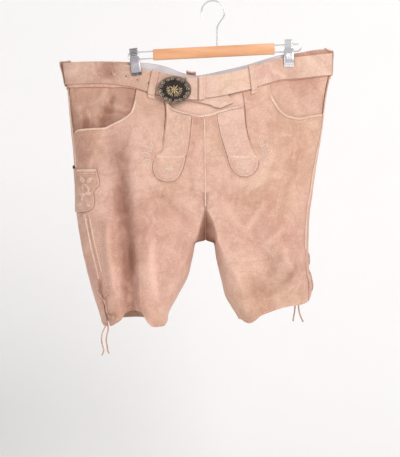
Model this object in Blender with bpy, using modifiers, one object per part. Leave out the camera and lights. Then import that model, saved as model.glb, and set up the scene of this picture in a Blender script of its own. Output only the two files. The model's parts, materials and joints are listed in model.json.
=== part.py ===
"""Knee-length suede lederhosen with a belt, as they hang on a wooden clip hanger.

Run with blender --background --python part.py. Lengths are in millimetres and are scaled to
metres where meshes are made. +Z is up, the front faces -Y and the wearer's right is at -X. The
origin is the inside top of the hanger's hook, where a rail carries it.

Every sewn piece is a wall on one skin: the outer face of the garment, worked out section by
section from the tables below. q is the signed square root of the distance from the side fold,
below zero on the front and above zero on the back.
"""

from bisect import bisect_right
from functools import lru_cache
from math import copysign, cos, hypot, pi, radians, sin, sqrt

import bmesh
import bpy
from mathutils import Matrix, Vector

MM = 0.001

# Walls and gaps
LEATHER = 1.6
SEAM_GAP = 0.4
LAY_GAP = 0.3
TAB_GAP = 0.8
LOOP_SLACK = 1.3
LINING_WALL = 0.8
STRAP = 2.8
TUCK = 2.4
FLY_TUCK = 3.2
FLY_BOTTOM = -322.0

# Waist
WAISTBAND = 52.0
LINING_DEPTH = 50.0
WAIST_SEAM = {"front": 1.0, "back": 1.8}
STRAP_WIDTH = 45.0
GRIP_DEPTH = 22.0
EASE_DEPTH = 110.0

# Crotch: where the centre seams leave the front and the back, and where all four legs' panels meet
CROTCH_X = -15.0
CROTCH_Y = 15.0
CROTCH_Z = -497.0
SEAM_LEAVES = {"front": -434.0, "back": -465.0}

# Front fall
SLIT_END = -311.0
SLIT_TOP = -205.0
SLIT_OPEN = 3.6
FLAP_LIFT = 3.0

# Hem slits
HEM_ZONE = -590.0
HEM_SLIT_OPEN = 4.6

# Hanger
WIRE = 1.5
HOOK_WIRE = 1.7
HOOK_RADIUS = 23.9
BAR_LENGTH = 253.0
BAR_HEIGHT = 23.0
BAR_DEPTH = 12.0
BAR_CENTRE = (1.8, 0.0, -104.6)
BAR_TILT = 2.87
CLIP_WIDTH = 20.0
CLIP_SHEET = 1.2

# Buckle
BUCKLE_CENTRE = (-79.5, -28.5, -185.0)
BUCKLE_SIZE = (72.5, 56.8)
BUCKLE_ROLL = 6.0
BUCKLE_TURN = -13.0

# One row for each level of a side; x of the side fold, distance of the side seam in front of it,
# x of the inner outline of the leg and x of the inner end of the panel
SECTION_COLUMNS = ("z", "fold", "seam", "lip", "end")
SECTIONS = {
    "right": (
        (-120.0, -311.0, 2.5, -25.0, -17.0),
        (-178.0, -303.5, 2.5, -25.5, -17.5),
        (-229.0, -299.0, 2.5, -26.0, -18.0),
        (-271.0, -294.5, 3.7, -25.5, -17.5),
        (-324.0, -290.0, 4.2, -25.0, -17.0),
        (-361.0, -287.0, 5.0, -24.5, -16.5),
        (-402.0, -285.0, 8.5, -24.0, -16.0),
        (-434.0, -284.5, 17.0, -18.8, -15.6),
        (-465.0, -281.0, 20.0, -24.6, -15.3),
        (-490.0, -277.0, 21.0, -31.6, -15.0),
        (-497.0, -275.5, 21.0, -34.0, -15.0),
        (-503.0, -274.5, 21.0, -39.5, -35.5),
        (-526.0, -269.8, 21.5, -45.0, -41.0),
        (-571.0, -259.5, 22.5, -56.0, -52.0),
        (-610.0, -248.5, 19.5, -75.6, -71.6),
        (-654.0, -234.5, 15.0, -96.6, -92.6),
        (-690.0, -226.0, 14.0, -99.0, -95.0),
    ),
    "left": (
        (-95.0, 246.0, 2.5, -9.0, -17.0),
        (-153.0, 244.0, 2.5, -9.5, -17.5),
        (-181.0, 238.5, 2.5, -9.5, -17.5),
        (-207.0, 234.5, 2.5, -10.0, -18.0),
        (-266.0, 227.0, 3.0, -9.5, -17.5),
        (-312.0, 220.5, 5.0, -9.0, -17.0),
        (-355.0, 214.0, 6.5, -8.5, -16.5),
        (-413.0, 205.5, 7.5, -7.8, -15.8),
        (-434.0, 202.5, 8.0, -12.2, -15.6),
        (-449.0, 201.4, 8.0, -7.0, -15.4),
        (-465.0, 200.2, 8.0, -1.6, -15.2),
        (-490.0, 199.0, 8.0, 3.0, -15.0),
        (-497.0, 198.8, 8.0, 3.8, -15.0),
        (-503.0, 198.6, 8.0, 5.6, 1.6),
        (-531.0, 198.6, 7.5, 11.0, 7.0),
        (-569.0, 201.5, 7.5, 19.6, 15.6),
        (-586.0, 205.5, 7.5, 23.5, 19.5),
        (-609.0, 204.7, 6.5, 29.0, 25.0),
        (-647.0, 200.0, 6.0, 51.0, 47.0),
        (-690.0, 194.0, 6.0, 72.0, 68.0),
    ),
}

# Half thickness of the garment below the waist, and the rounding of its folds
DEPTH_COLUMNS = ("z", "front", "back", "inner_y", "inner_round")
DEPTHS = (
    (-120.0, 22.0, 22.0, 15.0, 16.0),
    (-184.0, 27.0, 25.0, 15.0, 16.0),
    (-226.0, 34.0, 35.0, 15.0, 16.0),
    (-267.0, 41.0, 43.0, 15.0, 16.0),
    (-309.0, 48.0, 50.0, 15.0, 16.0),
    (-350.0, 52.0, 56.0, 15.0, 16.0),
    (-434.0, 58.0, 61.0, 15.0, 3.6),
    (-497.0, 58.0, 60.0, 15.0, 6.0),
    (-530.0, 57.0, 59.0, 12.0, 15.0),
    (-600.0, 55.0, 57.0, 8.0, 32.0),
    (-690.0, 53.0, 55.0, 6.0, 40.0),
)

# Rounding of the side fold against the height below the belt's top edge
FOLD_ROUND = ((0.0, 14.0), (52.0, 17.0), (100.0, 46.0), (160.0, 82.0), (250.0, 100.0),
              (380.0, 88.0), (470.0, 68.0), (560.0, 60.0))
FOLD_TOP = {"right": -128.0, "left": -107.5}

# Half thickness at the waist's edge: pinched by the clips, slack between them
WAIST_SLACK = ((-314.0, 9.0), (-230.0, 7.5), (-190.0, 4.0), (-161.0, 3.0), (-130.0, 5.0),
               (-90.0, 14.0), (-38.0, 21.0), (15.0, 22.0), (60.0, 17.0), (110.0, 7.0),
               (140.0, 3.6), (158.0, 3.0), (180.0, 4.0), (215.0, 7.5), (250.0, 9.0))

# Edge lines, x against z
TOP_LINES = {
    "front": ((-314.0, -128.0), (-233.0, -126.0), (-190.5, -130.0), (-164.0, -134.5),
              (-125.0, -146.0), (-80.0, -155.0), (-37.4, -161.0), (-14.0, -157.5),
              (15.6, -153.0), (66.0, -141.0), (83.0, -136.0), (112.0, -126.0),
              (142.0, -118.0), (170.0, -116.0), (250.0, -107.5)),
    "back": ((-314.0, -128.0), (-296.0, -125.5), (-235.0, -124.0), (-150.0, -127.0),
             (-114.0, -131.0), (-89.0, -138.0), (-66.6, -146.6), (-38.0, -153.0),
             (-14.6, -150.0), (14.6, -143.7), (56.0, -134.8), (85.0, -127.0),
             (118.6, -117.0), (147.7, -110.0), (168.5, -108.0), (228.0, -99.0),
             (250.0, -107.5)),
}
# Depth of the waistband's lower edge below its top edge, against x
BAND_LINES = {
    "front": ((-330.0, 52.0), (-215.0, 52.0), (-185.0, 47.6), (-150.0, 46.6), (260.0, 46.6)),
    "back": ((-330.0, 52.0), (175.0, 52.0), (214.0, 47.4), (234.0, 46.6), (260.0, 46.6)),
}
HEM_LINES = {
    "front right": ((-236.0, -664.0), (-230.5, -668.0), (-225.0, -674.0), (-214.0, -674.0),
                    (-200.0, -668.0), (-187.0, -660.0), (-180.0, -649.0), (-169.0, -641.0),
                    (-157.0, -645.0), (-147.0, -655.0), (-135.5, -667.0), (-116.5, -675.0),
                    (-99.5, -673.5), (-94.0, -664.0)),
    "back right": ((-236.0, -664.0), (-230.5, -668.0), (-200.0, -660.0), (-160.0, -657.0),
                   (-120.0, -661.0), (-94.0, -664.0)),
    "front left": ((57.0, -660.0), (62.0, -665.0), (69.0, -667.5), (87.4, -661.0),
                   (112.7, -647.5), (134.0, -638.5), (155.0, -632.7), (180.5, -629.5),
                   (197.4, -623.0), (204.7, -609.0)),
    "back left": ((57.0, -660.0), (80.0, -659.0), (130.0, -640.0), (180.0, -628.0),
                  (197.4, -622.0), (204.7, -609.0)),
}
POCKET_LINES = {
    "right": ((-300.0, -281.0), (-290.0, -275.0), (-277.5, -267.0), (-254.0, -265.0),
              (-224.0, -264.0), (-211.7, -258.0), (-190.5, -247.5), (-171.0, -232.0),
              (-165.0, -216.0), (-159.5, -188.0)),
    "left": ((118.0, -179.0), (121.0, -194.0), (131.7, -215.0), (140.0, -228.0),
             (155.0, -239.0), (176.0, -243.5), (205.5, -238.0), (232.0, -233.0)),
}
FLAP_TOP = ((-103.0, -203.0), (-98.8, -204.0), (-88.6, -222.0), (-46.0, -235.0),
            (-27.0, -239.0), (-14.0, -237.5), (11.0, -230.5), (36.6, -223.0), (66.0, -217.0))
SLIT_LINES = {
    "right": ((-690.0, -142.0), (-590.0, -132.0), (-475.0, -118.0), (-311.0, -105.5),
              (-233.0, -98.5), (-200.0, -101.0)),
    "left": ((-690.0, 128.0), (-590.0, 112.0), (-475.0, 98.0), (-311.0, 81.5), (-283.0, 73.0),
             (-255.0, 67.5), (-232.0, 66.0), (-190.0, 60.5)),
}
POCKET_CORNER = {"right": 0.716, "left": 0.68}

# Tongue outlines: z, x of the edge at the slit, x of the edge towards the middle
TONGUES = {
    "right": ((-209.0, -96.5, -44.0), (-240.0, -95.5, -45.0), (-276.0, -98.5, -48.0),
              (-311.0, -103.5, -52.4), (-324.5, -117.5, -56.5)),
    "left": ((-215.0, 62.5, 8.0), (-240.0, 64.0, 9.0), (-276.0, 69.0, 15.6),
             (-311.0, 80.5, 26.0), (-324.5, 90.0, 30.0)),
}
TONGUE_TIPS = {
    "right": ((-325.0, -118.0, -56.6), (-334.0, -122.5, -58.5), (-346.0, -124.5, -61.5),
              (-357.0, -122.0, -66.0), (-366.0, -116.5, -71.0), (-372.0, -109.0, -77.5),
              (-375.5, -98.0, -85.0)),
    "left": ((-325.0, 90.3, 30.1), (-334.0, 92.5, 32.3), (-342.0, 92.6, 34.8),
             (-350.0, 89.5, 39.0), (-357.0, 84.5, 44.5), (-362.0, 77.5, 51.5),
             (-365.0, 70.0, 59.0)),
}
KNIFE_POCKET = ((-349.5, -240.0), (-356.0, -239.0), (-368.0, -236.0), (-379.0, -234.0),
                (-389.0, -240.5), (-397.0, -246.5), (-412.0, -244.5), (-427.0, -246.0),
                (-433.5, -252.0), (-437.5, -263.0))

# Folds: face, depth inwards, half width, and the line they run along
FOLDS = (
    ("front", 18.0, 15.0, ((-190.0, -345.0), (-186.0, -413.0), (-181.0, -475.0), (-172.0, -560.0),
                           (-168.0, -720.0))),
    ("front", 6.0, 20.0, ((-194.0, -272.0), (-193.0, -330.0), (-189.0, -400.0), (-186.0, -450.0))),
    ("front", -5.0, 17.0, ((-140.0, -450.0), (-134.0, -560.0), (-128.0, -720.0))),
    ("front", -5.0, 15.0, ((-216.0, -430.0), (-210.0, -540.0), (-204.0, -720.0))),
    ("front", 3.0, 16.0, ((-140.0, -395.0), (-85.0, -428.0), (-45.0, -470.0))),
    ("front", -3.0, 15.0, ((132.0, -425.0), (105.0, -465.0), (80.0, -505.0))),
    ("front", -3.0, 14.0, ((158.0, -455.0), (130.0, -490.0), (104.0, -530.0))),
    ("front", 6.0, 20.0, ((150.0, -515.0), (112.0, -560.0), (84.0, -610.0))),
    ("front", -3.5, 14.0, ((40.0, -520.0), (52.0, -570.0), (60.0, -625.0))),
    ("back", 9.0, 22.0, ((-190.0, -260.0), (-178.0, -420.0), (-165.0, -560.0), (-160.0, -720.0))),
    ("back", 6.0, 20.0, ((-95.0, -300.0), (-100.0, -430.0), (-112.0, -560.0))),
    ("back", 9.0, 22.0, ((130.0, -250.0), (125.0, -420.0), (118.0, -560.0), (116.0, -720.0))),
    ("back", 6.0, 20.0, ((60.0, -310.0), (62.0, -430.0), (68.0, -560.0))),
)

# Levels of the rows that the front and back panels share along the side seams
LEVELS = (-311.0, -342.0, -373.0, -404.0, -434.0, -457.0, -477.0, -490.0, -497.0, -503.0,
          -520.0, -545.0, -570.0, HEM_ZONE)

# Rows of the fronts between their top edge and the end of the slits
ROW_SHARES = (1.0, 0.85, 0.56, 0.26)

MIDDLE_WARD = {"right": 1.0, "left": -1.0}


# ---------------------------------------------------------------- numbers

def clamp(value, low=0.0, high=1.0):
    return max(low, min(high, value))


def ease(value):
    value = clamp(value)
    return value * value * (3.0 - 2.0 * value)


def arc(value):
    """Height of a quarter circle of radius 1 that starts upright at 0."""
    return sqrt(1.0 - (1.0 - clamp(value)) ** 2)


def mix(low, high, share):
    return low + (high - low) * share


def smooth_line(points):
    """A function through the points that never swings past them."""
    points = sorted(points)
    keys = [point[0] for point in points]
    values = [point[1] for point in points]
    steps = [b - a for a, b in zip(keys, keys[1:])]
    rises = [(b - a) / step for a, b, step in zip(values, values[1:], steps)]
    slopes = [rises[0]]
    for before, after in zip(rises, rises[1:]):
        slopes.append(2.0 * before * after / (before + after) if before * after > 0.0 else 0.0)
    slopes.append(rises[-1])

    def value_at(key):
        key = clamp(key, keys[0], keys[-1])
        i = min(bisect_right(keys, key), len(keys) - 1) - 1
        t = (key - keys[i]) / steps[i]
        return (values[i] * (1.0 + 2.0 * t) * (1.0 - t) ** 2
                + slopes[i] * steps[i] * t * (1.0 - t) ** 2
                + values[i + 1] * t * t * (3.0 - 2.0 * t)
                + slopes[i + 1] * steps[i] * t * t * (t - 1.0))

    return value_at


def column_lines(rows, names):
    """One function of the rows' first column for each other column."""
    return {name: smooth_line([(row[0], row[i]) for row in rows])
            for i, name in enumerate(names) if i}


SIDE = {side: column_lines(rows, SECTION_COLUMNS) for side, rows in SECTIONS.items()}
DEPTH = column_lines(DEPTHS, DEPTH_COLUMNS)
FOLD_RADIUS = smooth_line(FOLD_ROUND)
SLACK = smooth_line(WAIST_SLACK)
TOP = {face: smooth_line(line) for face, line in TOP_LINES.items()}
BAND = {face: smooth_line(line) for face, line in BAND_LINES.items()}
HEM = {name: smooth_line(line) for name, line in HEM_LINES.items()}
POCKET = {side: smooth_line(line) for side, line in POCKET_LINES.items()}
FLAP = smooth_line(FLAP_TOP)
SLIT = {side: smooth_line(line) for side, line in SLIT_LINES.items()}
KNIFE_EDGE = smooth_line(KNIFE_POCKET)


# ---------------------------------------------------------------- the skin

def face_of(q):
    return "front" if q < 0.0 else "back"


@lru_cache(maxsize=None)
def level(side, z):
    """Fold x, inner end x, shelf width and inner rounding of one side at height z."""
    lines = SIDE[side]
    end = lines["end"](z)
    return lines["fold"](z), end, abs(end - lines["lip"](z)), DEPTH["inner_round"](z)


def relief(face, x, z):
    """Depth of the drape folds at a point of one face."""
    total = 0.0
    for fold_face, depth, half_width, line in FOLDS:
        if fold_face != face:
            continue
        best = None
        pieces = len(line) - 1
        for i, ((xa, za), (xb, zb)) in enumerate(zip(line, line[1:])):
            dx, dz = xb - xa, zb - za
            t = clamp(((x - xa) * dx + (z - za) * dz) / (dx * dx + dz * dz))
            away = hypot(x - xa - t * dx, z - za - t * dz)
            if best is None or away < best[0]:
                best = (away, (i + t) / pieces)
        away, along = best
        if away < 3.0 * half_width:
            total += (depth * 2.718 ** (-(away / half_width) ** 2)
                      * ease(along / 0.25) * ease((1.0 - along) / 0.15))
    return total


def band_edge(face, x):
    """Height of the waistband's lower edge."""
    return TOP[face](x) - BAND[face](x)


def half_depth(face, x, z):
    """How far the face stands from the middle plane, away from its folds."""
    below = TOP[face](x) - z
    slack = SLACK(x)
    return slack + (DEPTH[face](z) - slack) * ease((below - GRIP_DEPTH) / EASE_DEPTH)


def seam_y(face, end, z):
    """Where the panel's inner end stands: on the face, along the crotch curve, or inside the leg."""
    towards = -1.0 if face == "front" else 1.0
    on_face = towards * half_depth(face, end, z)
    leaves = SEAM_LEAVES[face]
    if z >= leaves:
        return on_face
    if z > CROTCH_Z:
        share = (z - CROTCH_Z) / (leaves - CROTCH_Z)
        return mix(CROTCH_Y, on_face, share ** 1.4 if face == "front" else arc(share))
    return DEPTH["inner_y"](z)


def skin(side, q, z):
    """A point of the garment's outer face."""
    face = face_of(q)
    fold, end, shelf, inner_round = level(side, z)
    width = abs(end - fold)
    inwards = min(q * q, width)
    x = fold + MIDDLE_WARD[side] * inwards
    towards = -1.0 if face == "front" else 1.0
    radius = FOLD_RADIUS(FOLD_TOP[side] - z)
    out = half_depth(face, x, z) - relief(face, x, z) * arc(inwards / 60.0)
    y = towards * out * arc(inwards / radius)
    from_end = width - inwards
    if z < SEAM_LEAVES[face] + 30.0 and from_end < shelf + inner_round:
        y_end = seam_y(face, end, z)
        flat = towards * half_depth(face, fold + MIDDLE_WARD[side] * (width - shelf), z)
        y_lip = y_end + mix(0.15, 0.5, ease((CROTCH_Z - z) / 12.0)) * (flat - y_end)
        if from_end < shelf:
            y = mix(y_end, y_lip, from_end / shelf)
        else:
            y = mix(y_lip, y, arc((from_end - shelf) / inner_round))
    return Vector((x, y, z))


def outward(side, q, z):
    """The skin's unit normal; front and back share it where they meet below the crotch."""
    fold, end, _, _ = level(side, z)
    width = abs(end - fold)
    if z <= CROTCH_Z and q * q > width - 0.25:
        reach = sqrt(width)
        return (one_normal(side, reach, z) + one_normal(side, -reach, z)).normalized()
    return one_normal(side, q, z)


def one_normal(side, q, z):
    across = skin(side, q + 0.02, z) - skin(side, q - 0.02, z)
    upright = skin(side, q, z + 0.5) - skin(side, q, z - 0.5)
    return (across.cross(upright) * -MIDDLE_WARD[side]).normalized()


def raised(side, q, z, height):
    return skin(side, q, z) + outward(side, q, z) * height


def pair(side, q, z, high, low):
    """Outer and inner point of a wall between two heights over the skin."""
    point = skin(side, q, z)
    normal = outward(side, q, z)
    return point + normal * high, point + normal * low


def q_at(side, x, z, face="front"):
    """The skin coordinate of the point of a face at x."""
    inwards = max((x - level(side, z)[0]) * MIDDLE_WARD[side], 0.0)
    return copysign(sqrt(inwards), -1.0 if face == "front" else 1.0)


def side_at(x, z):
    return "right" if x < level("right", z)[1] else "left"


def on_face(x, z, high, low=None, face="front"):
    """A raised point, or a wall's pair, at x and z of a face."""
    side = side_at(x, z)
    q = q_at(side, x, z, face)
    return raised(side, q, z, high) if low is None else pair(side, q, z, high, low)


def seam_inset(side, face, z):
    """Distance in x that leaves half the seam gap at a panel's inner end."""
    fold, end, shelf, _ = level(side, z)
    width = abs(end - fold)
    sign = -1.0 if face == "front" else 1.0
    near = skin(side, sign * sqrt(width - 0.1 * shelf), z)
    step = (near - skin(side, sign * sqrt(width), z)).length
    return 0.5 * SEAM_GAP * 0.1 * shelf / step


# ---------------------------------------------------------------- scene helpers

def clear_scene():
    for item in list(bpy.data.objects):
        bpy.data.objects.remove(item, do_unlink=True)


def make_material(name, colour, roughness, metallic=0.0):
    material = bpy.data.materials.new(name)
    material.use_nodes = True
    shader = material.node_tree.nodes["Principled BSDF"]
    shader.inputs["Base Color"].default_value = (*colour, 1.0)
    shader.inputs["Roughness"].default_value = roughness
    shader.inputs["Metallic"].default_value = metallic
    return material


def add_object(name, mesh, material):
    item = bpy.data.objects.new(name, mesh)
    PARTS.objects.link(item)
    item.data.materials.append(material)
    return item


def mesh_object(name, points, faces, material):
    mesh = bpy.data.meshes.new(name)
    mesh.from_pydata([Vector(point) * MM for point in points], [], faces)
    shape = bmesh.new()
    shape.from_mesh(mesh)
    bmesh.ops.recalc_face_normals(shape, faces=shape.faces)
    shape.to_mesh(mesh)
    shape.free()
    mesh.shade_smooth()
    mesh.set_sharp_from_angle(angle=radians(35.0))
    return add_object(name, mesh, material)


def wall(name, grids, material):
    """Closes one sewn piece. A grid's points are pairs: the wall's outer and its inner point."""
    points, index, faces, rim = [], {}, [], set()

    def corner(point_pair):
        key = tuple(round(value, 3) for value in point_pair[0])
        if key not in index:
            index[key] = len(points)
            points.extend(point_pair)
        return index[key]

    for grid in grids:
        rows = [[corner(item) for item in row] for row in grid]
        for upper, lower in zip(rows, rows[1:]):
            for a, b, c, d in zip(upper, upper[1:], lower[1:], lower):
                for face in ((a, b, c), (a, c, d)):
                    if len(set(face)) < 3:
                        continue
                    faces.append(face)
                    faces.append(tuple(i + 1 for i in reversed(face)))
                    for edge in zip(face, face[1:] + face[:1]):
                        if edge[::-1] in rim:
                            rim.remove(edge[::-1])
                        else:
                            rim.add(edge)
    for a, b in sorted(rim):
        faces.append((b, a, a + 1))
        faces.append((b, a + 1, b + 1))
    return mesh_object(name, points, faces, material)


def wire(name, route, radius, material, closed=False):
    """A round wire or lace along a list of points."""
    curve = bpy.data.curves.new(name, "CURVE")
    curve.dimensions = "3D"
    curve.bevel_depth = radius * MM
    curve.bevel_resolution = 2
    curve.use_fill_caps = not closed
    spline = curve.splines.new("POLY")
    spline.points.add(len(route) - 1)
    spline.use_cyclic_u = closed
    for target, point in zip(spline.points, route):
        target.co = (*(Vector(point) * MM), 1.0)
    return add_object(name, curve, material)


def rounded_route(points, steps):
    """Points of a smooth curve through the given ones."""
    points = [Vector(point) for point in points]
    ends = [points[0] * 2.0 - points[1], *points, points[-1] * 2.0 - points[-2]]
    route = []
    for a, b, c, d in zip(ends, ends[1:], ends[2:], ends[3:]):
        for step in range(steps):
            t = step / steps
            route.append(0.5 * (2.0 * b + (c - a) * t + (2.0 * a - 5.0 * b + 4.0 * c - d) * t * t
                                + (3.0 * b - a - 3.0 * c + d) * t ** 3))
    return [*route, points[-1]]


# ---------------------------------------------------------------- legs

def hem_z(side, face, q, z):
    """Height of the hem where the column at q runs down to it."""
    line = HEM[f"{face} {side}"]
    for _ in range(4):
        z = line(skin(side, q, z).x)
    return z


def column_rows(side, column, top_z, levels, hem_face):
    """Heights of one column's rows: the top edge, shared levels, and the hem."""
    rows = [mix(levels[0], top_z, share) for share in ROW_SHARES]
    rows.extend(levels)
    hem = hem_z(side, hem_face, column(levels[-1]), levels[-1])
    hem = hem_z(side, hem_face, column(hem), hem)
    rows.extend(mix(levels[-1], hem, share) for share in (0.4, 0.75, 1.0))
    return rows


def slit_edge(side, z, inner):
    """x of one edge of the fall's slit, or of its line further down."""
    half = 0.5 * SLIT_OPEN * clamp((z - SLIT_END) / (SLIT_TOP - SLIT_END))
    return SLIT[side](z) + MIDDLE_WARD[side] * (half if inner else -half)


def seam_q(side, z, share):
    """q of the side seam; share is the part of the gap on the back panel's side."""
    lines = SIDE[side]
    start = {"right": -585.0, "left": -523.0}[side]
    gap = SEAM_GAP + (HEM_SLIT_OPEN - SEAM_GAP) * ease((start - z) / 60.0)
    return -sqrt(max(lines["seam"](z) + gap * (0.5 - share), 0.05))


def panel_top(side, x):
    """Top edge of the front panel outside the fall: the pocket's edge, then the waistband."""
    line = POCKET_LINES[side]
    corner = line[-1][0] if side == "right" else line[0][0]
    if (x - corner) * MIDDLE_WARD[side] < 0.0:
        return POCKET[side](x)
    return band_edge("front", x) - WAIST_SEAM["front"]


def pocket_gape(side, x, z):
    """How far the pocket's edge stands off."""
    top = panel_top(side, x)
    line = POCKET[side]
    ends = POCKET_LINES[side][0][0], POCKET_LINES[side][-1][0]
    along = clamp((x - ends[0]) / (ends[1] - ends[0]))
    if not 0.0 < along < 1.0:
        return 0.0
    return 3.0 * sin(pi * along) ** 2 * ease(1.0 - (line(x) - z) / 45.0) if top == line(x) else 0.0


def flap_lift(z):
    return FLAP_LIFT * ease((z - SLIT_END) / 95.0)


def outer_columns(side):
    """Shares of the way from the side seam to the slit."""
    corner = POCKET_CORNER[side]
    pocket = (0.0, 0.06, 0.16, 0.3, 0.44, 0.58, 0.7, 0.8, 0.88, 0.95, 1.0)
    return [corner * share for share in pocket] + [mix(corner, 1.0, share) for share in (0.35, 0.7, 1.0)]


INNER_COLUMNS = (1.0, 0.68, 0.42, 0.24, 0.12, 0.035, 0.0)


def front_grids(side):
    """The outer part of a front panel, then the part that ends in the fall."""
    outer, inner = [], []
    for share in outer_columns(side):
        def column(z, share=share):
            seam = skin(side, seam_q(side, z, 0.0), z).x
            return q_at(side, mix(seam, slit_edge(side, z, False), share), z)
        top = SLIT_TOP
        for _ in range(4):
            top = panel_top(side, skin(side, column(top), top).x)
        outer.append(front_column(side, column, top))
    for share in (*INNER_COLUMNS, None):
        def column(z, share=share):
            fold, end, shelf, _ = level(side, z)
            if share is None:
                return -sqrt(abs(end - fold) - seam_inset(side, "front", z))
            lip = end - MIDDLE_WARD[side] * shelf
            return q_at(side, mix(lip, slit_edge(side, z, True), share), z)
        top = -230.0
        for _ in range(4):
            top = FLAP(skin(side, column(top), top).x)
        inner.append(front_column(side, column, top, fall=True))
    return [[list(row) for row in zip(*part)] for part in (outer, inner)]


def front_column(side, column, top, fall=False):
    pairs = []
    for z in column_rows(side, column, top, LEVELS, "front"):
        q = column(z)
        lift = flap_lift(z) if fall else pocket_gape(side, skin(side, q, z).x, z)
        pairs.append(pair(side, q, z, lift, lift - LEATHER))
    return pairs


BACK_TOP_LEVELS = (-255.0, -283.0)


def back_columns(side, z):
    """q of the back panel's columns, from the side seam round the fold to the inner end."""
    fold, end, shelf, inner_round = level(side, z)
    width = abs(end - fold)
    seam = seam_q(side, z, 1.0)
    columns = [seam, 0.62 * seam, 0.28 * seam, 0.0]
    radius = FOLD_RADIUS(FOLD_TOP[side] - z)
    rounding = [radius * (1.0 - cos(radians(angle))) for angle in (22.0, 42.0, 62.0, 82.0)]
    last = width - shelf - 0.8 * inner_round
    flat = [mix(rounding[-1], last, i / 7.0) for i in range(1, 8)]
    inner = [width - shelf - inner_round * (1.0 - cos(radians(angle))) for angle in (56.0, 32.0, 0.0)]
    inner.append(width - seam_inset(side, "back", z))
    return columns + [sqrt(inwards) for inwards in (*rounding, *flat, *inner)]


def back_grid(side):
    count = len(back_columns(side, CROTCH_Z))
    columns = []
    for i in range(count):
        def column(z, i=i):
            return back_columns(side, z)[i]
        face = "front" if i < 3 else "back"
        top = -190.0
        for _ in range(4):
            top = band_edge(face, skin(side, column(top), top).x) - WAIST_SEAM[face]
        rows = [top, mix(top, BACK_TOP_LEVELS[0], 0.5), *BACK_TOP_LEVELS, *LEVELS]
        hem = HEM_ZONE
        for _ in range(3):
            hem = hem_z(side, face, column(hem), hem)
        rows.extend(mix(HEM_ZONE, hem, share) for share in (0.4, 0.75, 1.0))
        columns.append([pair(side, column(z), z, 0.0, -LEATHER) for z in rows])
    return [list(row) for row in zip(*columns)]


def build_legs(suede):
    for side in SECTIONS:
        wall(f"front_{side}", front_grids(side), suede)
        wall(f"back_{side}", [back_grid(side)], suede)


# ---------------------------------------------------------------- waist

def waist_stations(side):
    """Distances from the fold of the stations shared by waistband and belt, as (base, share)."""
    near = [0.0, 0.35, 1.5, 3.5, 6.5, 10.0, 14.0]
    return [(inwards, 0.0) for inwards in near] + [(14.0, i / 15.0) for i in range(1, 16)]


def station_q(side, station, face, z):
    fold, end, _, _ = level(side, z)
    base, share = station
    inwards = mix(base, abs(end - fold), share) if share else base
    return copysign(sqrt(inwards), -1.0 if face == "front" else 1.0)


def waist_pair(side, station, face, below, high, low):
    """A pair at a height below the waist's top edge, or at the waistband's lower edge."""
    z = -200.0
    for _ in range(4):
        x = skin(side, station_q(side, station, face, z), z).x
        z = band_edge(face, x) if below is None else TOP[face](x) - below
    return pair(side, station_q(side, station, face, z), z, high, low)


def seam_station(side, share):
    """The side seam's station on the front face."""
    return (SIDE[side]["seam"](-150.0) + SEAM_GAP * (0.5 - share), 0.0)


def waist_grid(stations, heights, high, low):
    """stations: (side, station, face) in order round the waist."""
    return [[waist_pair(side, station, face, below, high, low) for side, station, face in stations]
            for below in heights]


def build_waistband(suede, lining):
    heights = (0.0, 0.5 * STRAP_WIDTH, STRAP_WIDTH, None)
    lining_heights = (0.8, 0.5 * STRAP_WIDTH, STRAP_WIDTH, LINING_DEPTH)
    back = []
    for side in ("right", "left"):
        stations = waist_stations(side)
        front = [(side, seam_station(side, 0.0), "front")]
        front += [(side, station, "front") for station in stations if station[0] > 3.0 or station[1]]
        fold, end, _, _ = level(side, -200.0)
        inset = 0.5 * SEAM_GAP / abs(end - fold)
        front[-1] = (side, (14.0, 1.0 - inset), "front")
        wall(f"waistband_front_{side}", [waist_grid(front, heights, 0.0, -LEATHER)], suede)
        half = [(side, seam_station(side, 1.0), "front"), (side, (0.8, 0.0), "front")]
        half += [(side, station, "back") for station in stations]
        back = half if side == "right" else back + list(reversed(half[:-1]))
    wall("waistband_back", [waist_grid(back, heights, 0.0, -LEATHER)], suede)
    lined = [item for item in back if item[2] == "back" and lies_between_clips(item)]
    high = -LEATHER - LAY_GAP
    wall("waistband_lining", [waist_grid(lined, lining_heights, high, high - LINING_WALL)], lining)


def lies_between_clips(item):
    side, station, face = item
    return -152.0 < skin(side, station_q(side, station, face, -150.0), -150.0).x < 148.0


# ---------------------------------------------------------------- belt

STRAP_LOW = LAY_GAP
STRAP_OVER = STRAP_LOW + STRAP + 0.6 + 1.2 + 0.6
RETURN_LOW = STRAP_OVER + STRAP + LAY_GAP
RETURN_WALL = 2.0
BAR_X = -52.0
BAR = 0.8
TAIL_LOWER = smooth_line(((-128.0, -192.5), (-100.0, -195.0), (-79.0, -199.0), (-51.0, -206.0),
                          (-10.0, -215.0), (13.5, -223.0), (30.0, -217.0), (43.5, -212.0)))
TAIL_UPPER = smooth_line(((-128.0, -146.5), (-100.0, -150.0), (-79.0, -154.0), (-51.0, -161.0),
                          (-10.0, -170.0), (13.5, -177.0), (30.0, -195.0), (43.5, -210.0)))


def strap_level(x):
    """Height of the strap's inner face over the waistband on the buckle's side."""
    return mix(STRAP_LOW, STRAP_OVER, ease((72.0 - x) / 22.0))


def face_ribbon_section(x_low, low, x_high, high, top, bottom, face="front"):
    """Pairs down a strap's section; its two faces may stand at different x."""
    section = []
    for share in (0.0, 0.5, 1.0):
        outer = on_face(x_high, mix(top(x_high), bottom(x_high), share), high, face=face)
        inner = on_face(x_low, mix(top(x_low), bottom(x_low), share), low, face=face)
        section.append((outer, inner))
    return section


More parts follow.
